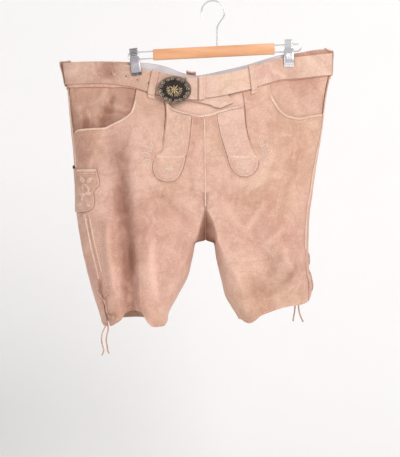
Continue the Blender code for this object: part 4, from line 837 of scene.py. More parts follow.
def new_piece(name, mesh, material_name, nodes=()):
    piece = bpy.data.objects.new(name, mesh)
    bpy.context.scene.collection.objects.link(piece)
    mesh.materials.clear()
    mesh.materials.append(finish(material_name))
    return take_in(piece, nodes)


def mesh_piece(name, points, faces, material_name, nodes=(), shaded=None, sharp=50.0):
    mesh = bpy.data.meshes.new(name)
    mesh.from_pydata([Vector(point) * MM for point in points], [], faces)
    shape = bmesh.new()
    shape.from_mesh(mesh)
    bmesh.ops.recalc_face_normals(shape, faces=shape.faces)
    shape.to_mesh(mesh)
    shape.free()
    mesh.shade_smooth()
    mesh.set_sharp_from_angle(angle=radians(sharp))
    # shaded carries painted shade (above zero) and painted highlight (below zero) for the suede
    # finishes
    if shaded:
        layer = mesh.attributes.new("shaded", "FLOAT", "POINT")
        layer.data.foreach_set("value", shaded)
    return new_piece(name, mesh, material_name, nodes)


def wall(name, grids, material_name, nodes=(), tone=None, bulge=0.12):
    """Closes one sewn piece with rounded edges; a grid's points are outer and inner pairs."""
    points, index, faces, rim = [], {}, [], {}

    def corner(point_pair):
        key = tuple(round(value, 3) for value in point_pair[0])
        if key not in index:
            index[key] = len(points)
            points.extend(Vector(point) for point in point_pair)
        return index[key]

    for grid in grids:
        rows = [[corner(item) for item in row] for row in grid]
        for upper, lower in zip(rows, rows[1:]):
            for quad in zip(upper, upper[1:], lower[1:], lower):
                face = tuple(dict.fromkeys(quad))
                if len(face) < 3:
                    continue
                faces.append(face)
                faces.append(tuple(i + 1 for i in reversed(face)))
                for a, b in zip(face, face[1:] + face[:1]):
                    if (b, a) in rim:
                        del rim[b, a]
                    else:
                        rim[a, b] = True
    away = {}
    for a, b in rim:
        along = points[b] - points[a]
        through = points[a] - points[a + 1]
        side = along.cross(through)
        for i in (a, b):
            away[i] = away.get(i, Vector()) + side
    middle = {}
    for i, side in away.items():
        thick = (points[i] - points[i + 1]).length
        middle[i] = len(points)
        points.append(0.5 * (points[i] + points[i + 1]) + side.normalized() * thick * bulge)
    for a, b in sorted(rim):
        faces.append((b, a, middle[a], middle[b]))
        faces.append((middle[b], middle[a], a + 1, b + 1))
    # tone gives the painted shade and highlight of each point
    shaded = [tone(point) for point in points] if tone else None
    return mesh_piece(name, points, faces, material_name, nodes, shaded, sharp=70.0)


def finer(values, parts):
    """The same values with parts steps between each two."""
    steps = [mix(a, b, i / parts) for a, b in zip(values, values[1:]) for i in range(parts)]
    return [*steps, values[-1]]


def rounded_route(points, steps):
    """Points of a smooth curve through the given ones."""
    points = [Vector(point) for point in points]
    ends = [points[0] * 2.0 - points[1], *points, points[-1] * 2.0 - points[-2]]
    route = []
    for a, b, c, d in zip(ends, ends[1:], ends[2:], ends[3:]):
        for step in range(steps):
            t = step / steps
            route.append(0.5 * (2.0 * b + (c - a) * t + (2.0 * a - 5.0 * b + 4.0 * c - d) * t * t
                                + (3.0 * b - a - 3.0 * c + d) * t ** 3))
    return [*route, points[-1]]


def curve_object(name, routes, closed=False):
    curve = bpy.data.curves.new(name, "CURVE")
    curve.dimensions = "3D"
    for route in routes:
        spline = curve.splines.new("POLY")
        spline.points.add(len(route) - 1)
        spline.use_cyclic_u = closed
        for target, point in zip(spline.points, route):
            target.co = (*(Vector(point) * MM), 1.0)
    item = bpy.data.objects.new(name, curve)
    bpy.context.scene.collection.objects.link(item)
    return item


# ---------------------------------------------------------------- geometry nodes

def start_tree(name, numbers):
    """A tree with geometry in and out, named numbers and a material."""
    tree = bpy.data.node_groups.new(name, "GeometryNodeTree")
    face = tree.interface
    face.new_socket("Geometry", in_out="INPUT", socket_type="NodeSocketGeometry")
    for label, kind, value in numbers:
        socket = face.new_socket(label, in_out="INPUT", socket_type=kind)
        socket.default_value = value
    face.new_socket("Material", in_out="INPUT", socket_type="NodeSocketMaterial")
    face.new_socket("Geometry", in_out="OUTPUT", socket_type="NodeSocketGeometry")
    return tree, tree.nodes.new("NodeGroupInput"), tree.nodes.new("NodeGroupOutput")


def end_tree(tree, source, given, taken):
    """Realises the instances, sets the material and shades smooth."""
    real = add_node(tree, "GeometryNodeRealizeInstances", {"Geometry": source})
    painted = add_node(tree, "GeometryNodeSetMaterial",
                       {"Geometry": real, "Material": given.outputs["Material"]})
    fill(tree, taken, {"Geometry": add_node(tree, "GeometryNodeSetShadeSmooth",
                                            {"Geometry": painted})})


@lru_cache(maxsize=None)
def cord_tree():
    """A round cord along every line."""
    tree, given, taken = start_tree("Round Cord", (("Radius", "NodeSocketFloat", 0.001),
                                                   ("Sides", "NodeSocketInt", 8)))
    ring = add_node(tree, "GeometryNodeCurvePrimitiveCircle",
                    {"Radius": given.outputs["Radius"], "Resolution": given.outputs["Sides"]})
    cord = add_node(tree, "GeometryNodeCurveToMesh", {
        "Curve": given.outputs["Geometry"], "Profile Curve": ring, "Fill Caps": True})
    end_tree(tree, cord, given, taken)
    return tree


@lru_cache(maxsize=None)
def stitch_tree():
    """Short stitches at an even pitch along every line."""
    tree, given, taken = start_tree("Stitch Rows", (("Pitch", "NodeSocketFloat", 0.0034),
                                                    ("Length", "NodeSocketFloat", 0.0027),
                                                    ("Thickness", "NodeSocketFloat", 0.0004)))
    thickness = given.outputs["Thickness"]
    rows = add_node(tree, "GeometryNodeResampleCurve", {
        "Curve": given.outputs["Geometry"], "Length": given.outputs["Pitch"]}, mode="LENGTH")
    ball = add_node(tree, "GeometryNodeMeshUVSphere", {"Segments": 6, "Rings": 4, "Radius": 1.0})
    half = add_node(tree, "ShaderNodeMath", {0: given.outputs["Length"], 1: 0.5},
                    operation="MULTIPLY")
    size = add_node(tree, "ShaderNodeCombineXYZ", {"X": half, "Y": thickness, "Z": thickness})
    shape = add_node(tree, "GeometryNodeTransform", {"Geometry": ball, "Scale": size})
    tangent = add_node(tree, "GeometryNodeInputTangent", {})
    turn = add_node(tree, "FunctionNodeAlignRotationToVector", {"Vector": tangent}, axis="X")
    end_tree(tree, add_node(tree, "GeometryNodeInstanceOnPoints", {
        "Points": rows, "Instance": shape, "Rotation": turn}), given, taken)
    return tree


def grow(name, tree, routes, material_name, nodes=(), closed=False, **values):
    """Runs a tree over lines of points and keeps the result as a plain mesh."""
    source = curve_object(f"{name}_lines", routes, closed)
    modifier = source.modifiers.new("Grow", "NODES")
    modifier.node_group = tree
    for socket in tree.interface.items_tree:
        if socket.in_out == "INPUT" and socket.name in values:
            modifier[socket.identifier] = values[socket.name]
        if socket.in_out == "INPUT" and socket.name == "Material":
            modifier[socket.identifier] = finish(material_name)
    evaluated = source.evaluated_get(bpy.context.evaluated_depsgraph_get())
    mesh = bpy.data.meshes.new_from_object(evaluated)
    mesh.name = name
    bpy.data.objects.remove(source, do_unlink=True)
    return new_piece(name, mesh, material_name, nodes)


def cords(name, routes, radius, material_name, nodes=(), sides=10, closed=False):
    return grow(name, cord_tree(), routes, material_name, nodes, closed,
                Radius=radius * MM, Sides=sides)


def stitches(name, routes):
    sewing = settings("stitching")
    return grow(name, stitch_tree(), routes, "waxed_thread", Pitch=sewing.pitch,
                Length=sewing.length, Thickness=sewing.thickness)


# ---------------------------------------------------------------- the dressed surface

# Places where the leather is drawn flat: x, z, reach in x, reach in z
CALM = ((-222.0, -630.0, 34.0, 46.0), (196.0, -566.0, 34.0, 62.0), (-288.0, -345.0, 24.0, 22.0))

# Creases of the fronts: x and z of both ends, half width and height
CREASES = ((6.0, -404.0, 68.0, -480.0, 6.0, 1.3), (20.0, -392.0, 104.0, -414.0, 6.0, 0.8),
           (122.0, -408.0, 52.0, -488.0, 6.5, 1.2), (150.0, -462.0, 102.0, -516.0, 6.0, 1.0),
           (181.0, -542.0, 114.0, -620.0, 7.0, -1.3), (31.0, -542.0, 69.0, -604.0, 6.0, 1.1),
           (140.0, -500.0, 176.0, -590.0, 6.0, 0.9), (-127.0, -388.0, -48.0, -458.0, 6.0, -1.1),
           (-131.0, -465.0, -114.0, -642.0, 8.0, 1.4), (-218.0, -444.0, -206.0, -621.0, 7.0, 1.2),
           (-56.0, -330.0, -31.0, -424.0, 5.5, -0.9), (-152.0, -309.0, -131.0, -423.0, 7.0, 0.8),
           (-110.0, -496.0, -64.0, -542.0, 6.0, 0.9), (120.0, -300.0, 96.0, -372.0, 6.0, 0.8),
           (-240.0, -300.0, -214.0, -262.0, 6.0, 0.8), (170.0, -330.0, 140.0, -440.0, 7.0, -0.8))


def crease_height(x, z):
    total = 0.0
    for xa, za, xb, zb, half_width, height in CREASES:
        dx, dz = xb - xa, zb - za
        t = ((x - xa) * dx + (z - za) * dz) / (dx * dx + dz * dz)
        if -0.1 < t < 1.1:
            length = hypot(dx, dz)
            away = ((x - xa) * dz - (z - za) * dx) / length + 3.0 * sin(7.0 * t + xa)
            if abs(away) < 3.0 * half_width:
                total += height * bell(away / half_width) * ease(4.0 * min(t, 1.0 - t))
    return total


def wrinkle(point):
    """Height of the leather's small folds at a point of the skin."""
    x, y, z = point
    calm = ease((-216.0 - z) / 60.0)
    if calm <= 0.0:
        return 0.0
    for x_calm, z_calm, reach_x, reach_z in CALM:
        calm *= ease(hypot((x - x_calm) / reach_x, (z - z_calm) / reach_z) - 0.9)
    broad = noise.noise(Vector((x / 46.0, y / 60.0, z / 74.0)))
    small = noise.noise(Vector((x / 15.0 + 7.0, y / 18.0, z / 24.0)))
    creased = crease_height(x, z) if y < 0.0 else 0.0
    return calm * (settings("suede").wrinkle / MM * (1.7 * broad + 0.7 * small) + 1.3 * creased)


def smooth_point(side, q, z, height):
    """A point over the skin without its small folds."""
    return skin(side, q, z) + outward(side, q, z) * height


def raised(side, q, z, height):
    point = skin(side, q, z)
    return point + outward(side, q, z) * (height + wrinkle(point))


def pair(side, q, z, high, low):
    """Outer and inner point of a wall between two heights over the skin."""
    point = skin(side, q, z)
    normal = outward(side, q, z)
    rise = wrinkle(point)
    return point + normal * (high + rise), point + normal * (low + rise)


def on_face(x, z, high, low=None, face="front"):
    """A raised point, or a wall's pair, at x and z of a face."""
    side = side_at(x, z)
    q = q_at(side, x, z, face)
    return raised(side, q, z, high) if low is None else pair(side, q, z, high, low)


def laid(spots, height, lift=None, face="front"):
    """A closely spaced line over a face through spots (x, z)."""
    line = []
    for (xa, za), (xb, zb) in zip(spots, spots[1:]):
        parts = max(1, round(hypot(xb - xa, zb - za) / 3.0))
        line += [(mix(xa, xb, i / parts), mix(za, zb, i / parts)) for i in range(parts)]
    line.append(spots[-1])
    return [on_face(x, z, height + (lift(x, z) if lift else 0.0), face=face) for x, z in line]


def q_beside(side, q, z, distance):
    """q of a point that lies a distance away from q round the skin."""
    step = (skin(side, q + 0.03, z) - skin(side, q - 0.03, z)).length / 0.06
    return q + distance / step


def moved_in(points, distance, side):
    """The same line moved down into the panel."""
    moved = []
    for i, (x, z) in enumerate(points):
        ahead = points[min(i + 1, len(points) - 1)]
        behind = points[max(i - 1, 0)]
        dx, dz = ahead[0] - behind[0], ahead[1] - behind[1]
        length = hypot(dx, dz)
        sign = MIDDLE_WARD[side]
        moved.append((x + sign * dz / length * distance, z - sign * dx / length * distance))
    return moved


def strip(name, route, half_width, low, high, material_name, nodes=(), lift=None):
    """A narrow rounded strip along points (x, z) of the front."""
    section = [(-1.0, low)]
    for i in range(9):
        angle = pi * i / 8.0
        section.append((-cos(angle), mix(mix(low, high, 0.45), high, sin(angle))))
    section.append((1.0, low))
    spots = []
    for x, z in route:
        side = side_at(x, z)
        q = q_at(side, x, z)
        point = skin(side, q, z)
        rise = wrinkle(point) + (lift(x, z) if lift else 0.0)
        spots.append((point, outward(side, q, z), rise))
    points = []
    for i, (point, normal, rise) in enumerate(spots):
        along = spots[min(i + 1, len(spots) - 1)][0] - spots[max(i - 1, 0)][0]
        across = normal.cross(along).normalized() * half_width
        points.extend(point + across * share + normal * (height + rise)
                      for share, height in section)
    count = len(section)
    faces = []
    for i in range(len(spots) - 1):
        for j in range(count):
            a, b = i * count + j, i * count + (j + 1) % count
            faces.append((a, b, b + count, a + count))
    faces.append(tuple(reversed(range(count))))
    faces.append(tuple(range(len(points) - count, len(points))))
    return mesh_piece(name, points, faces, material_name, nodes)


class Maker(Operator):
    """Makes its pieces, and stops with an error if nothing came of it."""
    bl_options = {"REGISTER", "UNDO"}

    def execute(self, context):
        before = len(bpy.data.objects)
        self.make()
        if len(bpy.data.objects) == before:
            raise RuntimeError(f"{self.bl_label}: no piece was made")
        return {"FINISHED"}


# ---------------------------------------------------------------- legs

def hem_z(side, face, q, z):
    """Height of the hem where the column at q runs down to it."""
    line = HEM[f"{face} {side}"]
    for _ in range(4):
        z = line(skin(side, q, z).x)
    return z


def column_rows(side, column, top_z, levels, hem_face):
    """Heights of one column's rows: the top edge, shared levels, and the hem."""
    rows = [mix(levels[0], top_z, share) for share in ROW_SHARES]
    rows.extend(levels)
    hem = hem_z(side, hem_face, column(levels[-1]), levels[-1])
    hem = hem_z(side, hem_face, column(hem), hem)
    rows.extend(mix(levels[-1], hem, share) for share in (0.4, 0.75, 1.0))
    return finer(rows, 4)


def slit_edge(side, z, inner):
    """x of one edge of the fall's slit, or of its line further down."""
    half = 0.5 * SLIT_OPEN * clamp((z - SLIT_END) / (SLIT_TOP - SLIT_END))
    return SLIT[side](z) + MIDDLE_WARD[side] * (half if inner else -half)


def seam_q(side, z, share):
    """q of the side seam; share is the part of the gap on the back panel's side."""
    lines = SIDE[side]
    start = {"right": -585.0, "left": -523.0}[side]
    gap = SEAM_GAP + (HEM_SLIT_OPEN[side] - SEAM_GAP) * ease((start - z) / 60.0)
    return -sqrt(max(lines["seam"](z) + gap * (0.5 - share), 0.05))


def panel_top(side, x):
    """Top edge of the front panel outside the fall: the pocket's edge, then the waistband."""
    line = POCKET_LINES[side]
    corner = line[-1][0] if side == "right" else line[0][0]
    if (x - corner) * MIDDLE_WARD[side] < 0.0:
        return POCKET[side](x)
    return band_edge("front", x) - WAIST_SEAM["front"]


def pocket_gape(side, x, z):
    """How far the pocket's edge stands off."""
    top = panel_top(side, x)
    line = POCKET[side]
    ends = POCKET_LINES[side][0][0], POCKET_LINES[side][-1][0]
    along = clamp((x - ends[0]) / (ends[1] - ends[0]))
    if not 0.0 < along < 1.0:
        return 0.0
    return 3.0 * sin(pi * along) ** 2 * ease(1.0 - (line(x) - z) / 45.0) if top == line(x) else 0.0


def flap_lift(z):
    return FLAP_LIFT * ease((z - SLIT_END) / 95.0)


def over_flap(x, z):
    """How far a spot of the fall stands off."""
    return flap_lift(z)


def outer_columns(side):
    """Shares of the way from the side seam to the slit, and how many of them are at the pocket."""
    corner = POCKET_CORNER[side]
    pocket = finer((0.0, 0.06, 0.16, 0.3, 0.44, 0.58, 0.7, 0.8, 0.88, 0.95, 1.0), 4)
    rest = finer((0.0, 0.35, 0.7, 1.0), 4)[1:]
    shares = [corner * share for share in pocket] + [mix(corner, 1.0, share) for share in rest]
    return shares, len(pocket)


INNER_COLUMNS = tuple(finer((1.0, 0.68, 0.42, 0.24, 0.12, 0.035, 0.0), 4))


def front_grids(side):
    """The outer part of a front panel, then the part that ends in the fall."""
    outer, inner = [], []
    for share in outer_columns(side)[0]:
        def column(z, share=share):
            seam = skin(side, seam_q(side, z, 0.0), z).x
            return q_at(side, mix(seam, slit_edge(side, z, False), share), z)
        top = SLIT_TOP
        for _ in range(4):
            top = panel_top(side, skin(side, column(top), top).x)
        outer.append(front_column(side, column, top))
    for share in (*INNER_COLUMNS, None):
        def column(z, share=share):
            fold, end, shelf, _ = level(side, z)
            if share is None:
                return -sqrt(abs(end - fold) - seam_inset(side, "front", z))
            lip = end - MIDDLE_WARD[side] * shelf
            return q_at(side, mix(lip, slit_edge(side, z, True), share), z)
        top = -230.0
        for _ in range(4):
            top = FLAP(skin(side, column(top), top).x)
        inner.append(front_column(side, column, top, fall=True))
    return [[list(row) for row in zip(*part)] for part in (outer, inner)]


def front_column(side, column, top, fall=False):
    pairs = []
    for z in column_rows(side, column, top, LEVELS, "front"):
        q = column(z)
        lift = flap_lift(z) if fall else pocket_gape(side, skin(side, q, z).x, z)
        pairs.append(pair(side, q, z, lift, lift - LEATHER))
    return pairs


def back_columns(side, z):
    """q of the back panel's columns, from the side seam round the fold to the inner end."""
    fold, end, shelf, inner_round = level(side, z)
    width = abs(end - fold)
    seam = seam_q(side, z, 1.0)
    columns = [seam, 0.62 * seam, 0.28 * seam, 0.0]
    radius = FOLD_RADIUS(FOLD_TOP[side] - z)
    rounding = [radius * (1.0 - cos(radians(angle))) for angle in (22.0, 42.0, 62.0, 82.0)]
    last = width - shelf - 0.8 * inner_round
    flat = [mix(rounding[-1], last, i / 7.0) for i in range(1, 8)]
    inner = [width - shelf - inner_round * (1.0 - cos(radians(angle)))
             for angle in (56.0, 32.0, 0.0)]
    inner.append(width - seam_inset(side, "back", z))
    return finer(columns + [sqrt(inwards) for inwards in (*rounding, *flat, *inner)], 4)


def back_grid(side):
    count = len(back_columns(side, CROTCH_Z))
    columns = []
    for i in range(count):
        def column(z, i=i):
            return back_columns(side, z)[i]
        face = "front" if i < 12 else "back"
        top = -190.0
        for _ in range(4):
            top = band_edge(face, skin(side, column(top), top).x) - WAIST_SEAM[face]
        rows = [top, mix(top, -255.0, 0.5), -255.0, -283.0, *LEVELS]
        hem = HEM_ZONE
        for _ in range(3):
            hem = hem_z(side, face, column(hem), hem)
        rows.extend(mix(HEM_ZONE, hem, share) for share in (0.4, 0.75, 1.0))
        columns.append([pair(side, column(z), z, 0.0, -LEATHER) for z in finer(rows, 4)])
    return [list(row) for row in zip(*columns)]


# Darker and paler marks of the front, mostly painted shade in the fold valleys and painted
# highlights (shares below zero) on the ridges: x, z, reach in x, reach in z, share of the shade
LIGHT_AND_SHADE_MARKS = ((-197.0, -312.0, 24.0, 62.0, 0.34), (-190.0, -405.0, 17.0, 75.0, 0.3),
           (-174.0, -560.0, 15.0, 92.0, 0.62), (-268.0, -312.0, 20.0, 36.0, 0.26),
           (-139.0, -470.0, 24.0, 46.0, 0.14), (-100.0, -330.0, 18.0, 40.0, 0.1),
           (160.0, -572.0, 34.0, 46.0, 0.3), (104.0, -604.0, 40.0, 20.0, 0.2),
           (60.0, -402.0, 50.0, 15.0, 0.16), (30.0, -300.0, 10.0, 60.0, 0.1),
           (-150.0, -225.0, 26.0, 30.0, 0.14), (-238.0, -480.0, 15.0, 80.0, -0.16),
           (-132.0, -580.0, 18.0, 60.0, -0.22), (-100.0, -520.0, 16.0, 30.0, -0.14),
           (70.0, -530.0, 18.0, 60.0, -0.12), (-250.0, -600.0, 12.0, 30.0, -0.1),
           (-176.0, -332.0, 8.0, 26.0, 0.2), (-186.0, -376.0, 9.0, 24.0, 0.2),
           (-158.0, -476.0, 9.0, 26.0, 0.18), (-183.0, -448.0, 6.0, 40.0, 0.16),
           (-112.0, -408.0, 14.0, 22.0, 0.14), (-96.0, -498.0, 12.0, 18.0, 0.16),
           (96.0, -424.0, 26.0, 12.0, 0.12), (122.0, -540.0, 12.0, 40.0, 0.14),
           (-208.0, -290.0, 24.0, 40.0, 0.26), (-72.0, -462.0, 34.0, 40.0, -0.2),
           (-252.0, -520.0, 16.0, 60.0, -0.14), (-90.0, -230.0, 60.0, 24.0, 0.12),
           (26.0, -580.0, 18.0, 60.0, -0.2), (10.0, -505.0, 14.0, 36.0, -0.16),
           (-233.0, -592.0, 5.0, 12.0, 0.8), (-205.0, -652.0, 8.0, 6.0, 0.5))


def panel_shading(point):
    """Painted light and shade on a spot of the leather: shade in the folds, in the crotch's recess
    and on the wearer's right side, and the front's listed marks and crease ridges.
    """
    face = "front" if point.y < 0.0 else "back"
    # painted shade in the drape folds
    folded = clamp(relief(face, point.x, point.z) / 12.0)
    # painted shade in the crotch's recess below the fall
    crotch = 0.0
    if -512.0 < point.z < -400.0:
        _, end, shelf, _ = level(side_at(point.x, point.z), point.z)
        crotch = (ease(2.2 * (1.0 - abs(point.x - end) / max(shelf, 1.0)))
                  * ease((point.z + 512.0) / 16.0))
    # painted shade on the wearer's right side, away from the key light
    side = ease((-196.0 - point.x) / 60.0)
    # rubbed sums the painted shade and highlight of the listed marks and the creases
    rubbed = 0.0
    if face == "front":
        for x, z, reach_x, reach_z, share in LIGHT_AND_SHADE_MARKS:
            rubbed += share * bell((point.x - x) / reach_x, (point.z - z) / reach_z)
        # painted highlight on the crease ridges, painted shade in their troughs
        rubbed -= 0.24 * crease_height(point.x, point.z)
    return max(-1.0, min(1.0, 0.3 * folded + 0.95 * crotch + 0.06 * side + rubbed))


class MakeLegs(Maker):
    """The two front and two back panels."""
    bl_idname = "lederhosen.legs"
    bl_label = "Leg Panels"

    def make(self):
        for side in SECTIONS:
            front, back = f"front_{side}", f"back_{side}"
            wall(front, front_grids(side), "sand_suede", (front,), panel_shading)
            wall(back, [back_grid(side)], "sand_suede", (back,), panel_shading)


# ---------------------------------------------------------------- waist

# A height inside the waistband, and x of the lining's ends
WAIST_Z = -150.0
LINING_ENDS = (-152.0, 148.0)
# Stations shared by waistband and belt: distance from the fold, share of the rest of the way
WAIST_STATIONS = ([(inwards, 0.0) for inwards in finer((0.0, 0.35, 1.5, 3.5, 6.5, 10.0, 14.0), 3)]
                  + [(14.0, i / 60.0) for i in range(1, 61)])
FRONT_STATIONS = [station for station in WAIST_STATIONS if station[0] > 3.0 or station[1]]


def station_q(side, station, face, z):
    fold, end, _, _ = level(side, z)
    base, share = station
    inwards = mix(base, abs(end - fold), share) if share else base
    return copysign(sqrt(inwards), FACE_WARD[face])


def waist_pair(side, station, face, below, high, low):
    """A pair at a height below the waist's top edge; WAISTBAND is the band's lower edge."""
    beyond = max(below - STRAP_WIDTH, 0.0) / (WAISTBAND - STRAP_WIDTH)
    z = -200.0
    for _ in range(4):
        x = skin(side, station_q(side, station, face, z), z).x
        z = TOP[face](x) - (mix(STRAP_WIDTH, BAND[face](x), beyond) if beyond else below)
    return pair(side, station_q(side, station, face, z), z, high, low)


def station_x(side, station, face):
    return skin(side, station_q(side, station, face, WAIST_Z), WAIST_Z).x


def seam_station(side, share):
    """The side seam's station on the front face."""
    return (SIDE[side]["seam"](WAIST_Z) + SEAM_GAP * (0.5 - share), 0.0)


def waist_grid(stations, heights, high, low):
    """stations: (side, station, face) in order round the waist."""
    return [[waist_pair(side, station, face, below, high, low) for side, station, face in stations]
            for below in heights]


def lies_between_clips(item):
    return LINING_ENDS[0] < station_x(*item) < LINING_ENDS[1]


class MakeWaistband(Maker):
    """The waistband's three parts and its lining."""
    bl_idname = "lederhosen.waistband"
    bl_label = "Waistband"

    def make(self):
        heights = finer((0.0, 0.5 * STRAP_WIDTH, STRAP_WIDTH, WAISTBAND), 3)
        lining_heights = finer((0.8, 0.5 * STRAP_WIDTH, STRAP_WIDTH, WAISTBAND - 2.0), 3)
        back = []
        for side in ("right", "left"):
            front = [(side, seam_station(side, 0.0), "front")]
            front += [(side, station, "front") for station in FRONT_STATIONS]
            fold, end, _, _ = level(side, -200.0)
            inset = 0.5 * SEAM_GAP / abs(end - fold)
            front[-1] = (side, (14.0, 1.0 - inset), "front")
            name = f"waistband_front_{side}"
            wall(name, [waist_grid(front, heights, 0.0, -LEATHER)], "sand_suede", (name,))
            half = [(side, seam_station(side, 1.0), "front"), (side, (0.8, 0.0), "front")]
            half += [(side, station, "back") for station in WAIST_STATIONS]
            back = half if side == "right" else back + list(reversed(half[:-1]))
        wall("waistband_back", [waist_grid(back, heights, 0.0, -LEATHER)], "sand_suede",
             ("waistband_back",))
        lined = [item for item in back if item[2] == "back" and lies_between_clips(item)]
        high = -LEATHER - LAY_GAP
        wall("waistband_lining", [waist_grid(lined, lining_heights, high, high - LINING_WALL)],
             "pale_lining", ("waistband_lining",))


# ---------------------------------------------------------------- belt

STRAP_LOW = LAY_GAP
KEEPER_GAP = 0.6
KEEPER_WALL = 1.2
STRAP_OVER = STRAP_LOW + STRAP + KEEPER_GAP + KEEPER_WALL + KEEPER_GAP
RETURN_LOW = STRAP_OVER + STRAP + LAY_GAP
RETURN_WALL = 2.0
BAR_X = -52.0
BAR = 0.8
TAIL_LOWER = smooth_line(((-128.0, -192.5), (-100.0, -195.0), (-79.0, -199.0), (-51.0, -206.0),
                          (-10.0, -215.0), (13.5, -223.0), (30.0, -217.0), (43.5, -212.0)))
TAIL_UPPER = smooth_line(((-128.0, -146.5), (-100.0, -150.0), (-79.0, -154.0), (-51.0, -161.0),
                          (-10.0, -170.0), (13.5, -177.0), (30.0, -195.0), (43.5, -210.0)))
BELT_HOLES = ((-207.0, -149.5), (-181.0, -156.5), (-157.5, -163.5), (-132.5, -170.5))
ACROSS = finer((0.0, 0.5, 1.0), 5)
# x between which the tail and the buckle's end are laid out on their own
BELT_ENDS = (-122.0, 78.0)


def strap_level(x):
    """Height of the strap's inner face over the waistband on the buckle's side."""
    return mix(STRAP_LOW, STRAP_OVER, ease((72.0 - x) / 22.0))


def belt_top(x):
    return TOP["front"](x)


def belt_bottom(x):
    return TOP["front"](x) - STRAP_WIDTH


def face_ribbon_section(x_low, low, x_high, high, top, bottom):
    """Pairs down a strap's section; its two faces may stand at different x."""
    section = []
    for share in ACROSS:
        section.append((on_face(x_high, mix(top(x_high), bottom(x_high), share), high),
                        on_face(x_low, mix(top(x_low), bottom(x_low), share), low)))
    return section


def belt_section(side, station, face):
    """The strap's section at a station of the waist, or nothing where its own ends run."""
    if face == "front" and BELT_ENDS[0] < station_x(side, station, face) < BELT_ENDS[1]:
        return []
    lowered = 0.0 if face == "front" else 2.5 * ease((station[0] - 0.3) / 10.0)
    return [[waist_pair(side, station, face, lowered + share * STRAP_WIDTH,
                        STRAP_LOW + STRAP, STRAP_LOW) for share in ACROSS]]


def belt_sections():
    sections = []
    for x in finer((43.0, 38.0, 32.0, 24.0, 15.6, -0.9, -17.4, -35.8, -54.3, -72.7, -91.1, -109.6),
                   4):
        sections.append(face_ribbon_section(x, STRAP_LOW, x, STRAP_LOW + STRAP,
                                            TAIL_UPPER, TAIL_LOWER))
    for side in ("right", "left"):
        front = [(side, station, "front") for station in reversed(WAIST_STATIONS[1:])]
        back = [(side, station, "back") for station in WAIST_STATIONS]
        loop = front + back if side == "right" else back[:-1][::-1] + front[::-1]
        for side_name, station, face in loop:
            sections.extend(belt_section(side_name, station, face))
    for x in finer((72.0, 66.0, 61.0, 56.0, 50.0, 34.0, 17.0, 0.0, -15.0, -30.0, -42.0,
                    BAR_X + 2.0), 3):
        low = strap_level(x)
        sections.append(face_ribbon_section(x, low, x, low + STRAP, belt_top, belt_bottom))
    hollow = BAR + 0.4
    middle = STRAP_OVER + STRAP + hollow
    for angle in range(-80, 81, 16):
        swing = radians(angle)
        thick = hollow + mix(STRAP, RETURN_WALL, (angle + 90.0) / 180.0)
        sections.append(face_ribbon_section(
            BAR_X - thick * cos(swing), middle + thick * sin(swing),
            BAR_X - hollow * cos(swing), middle + hollow * sin(swing), belt_top, belt_bottom))
    for x, low in ((BAR_X + 2.0, middle + hollow), (-46.0, RETURN_LOW + 0.9),
                   (-43.0, RETURN_LOW + 0.4), (-40.0, RETURN_LOW), (-36.0, RETURN_LOW),
                   (-32.5, RETURN_LOW)):
        sections.append(face_ribbon_section(x, low + RETURN_WALL, x, low, belt_top, belt_bottom))
    return sections


def punched(piece, places, radius):
    """Cuts round holes through a piece at (point, direction)."""
    cutters = bmesh.new()
    for point, normal in places:
        turn = normal.to_track_quat("Z", "Y").to_matrix().to_4x4()
        bmesh.ops.create_cone(cutters, cap_ends=True, segments=14, radius1=radius * MM,
                              radius2=radius * MM, depth=14.0 * MM,
                              matrix=Matrix.Translation(point * MM) @ turn)
    mesh = bpy.data.meshes.new("punch")
    cutters.to_mesh(mesh)
    cutters.free()
    punch = bpy.data.objects.new("punch", mesh)
    bpy.context.scene.collection.objects.link(punch)
    cut = piece.modifiers.new("Punch", "BOOLEAN")
    cut.object = punch
    cut.solver = "EXACT"
    evaluated = piece.evaluated_get(bpy.context.evaluated_depsgraph_get())
    whole = bpy.data.meshes.new_from_object(evaluated)
    piece.modifiers.clear()
    piece.data = whole
    bpy.data.objects.remove(punch, do_unlink=True)


class MakeBelt(Maker):
    """The belt with its folded end, its punched tail and its keeper."""
    bl_idname = "lederhosen.belt"
    bl_label = "Belt"

    def make(self):
        belt = wall("belt", [belt_sections()], "belt_suede", ("belt",), belt_shading)
        places = []
        for x, z in BELT_HOLES:
            side = side_at(x, z)
            q = q_at(side, x, z)
            places.append((smooth_point(side, q, z, STRAP_LOW + 0.5 * STRAP), outward(side, q, z)))
        punched(belt, places, 2.1)
        build_keeper()


def belt_shading(point):
    """Painted shade of the strap, heavier towards its tail on the wearer's right; also darker round
    its holes, in a patch by the first hole and on its back.
    """
    if point.y > 0.0:
        return 0.1
    holes = max(ease(1.0 - hypot(point.x - x, point.z - z) / 6.0) for x, z in BELT_HOLES)
    # a darker patch by the first hole
    bent = ease(1.0 - abs(point.x + 218.0) / 36.0) * ease((point.z + 176.0) / 24.0)
    # painted shade towards the tail, away from the key light
    tail = ease((-125.0 - point.x) / 60.0)
    return clamp(0.7 * holes + 0.55 * bent + 0.26 * tail)


# Belt loops: name, face, x at the top and at the bottom of the belt, width
BELT_LOOPS = (
    ("belt_loop_front_right", "front", -118.6, -128.0, 15.0),
    ("belt_loop_front_left", "front", 79.0, 85.0, 12.0),
    ("belt_loop_back", "back", -45.0, -45.0, 20.0),
)
SIDE_LOOP_BOW = {"right": 5.0, "left": 0.5}
LOOP_TAB = 12.0


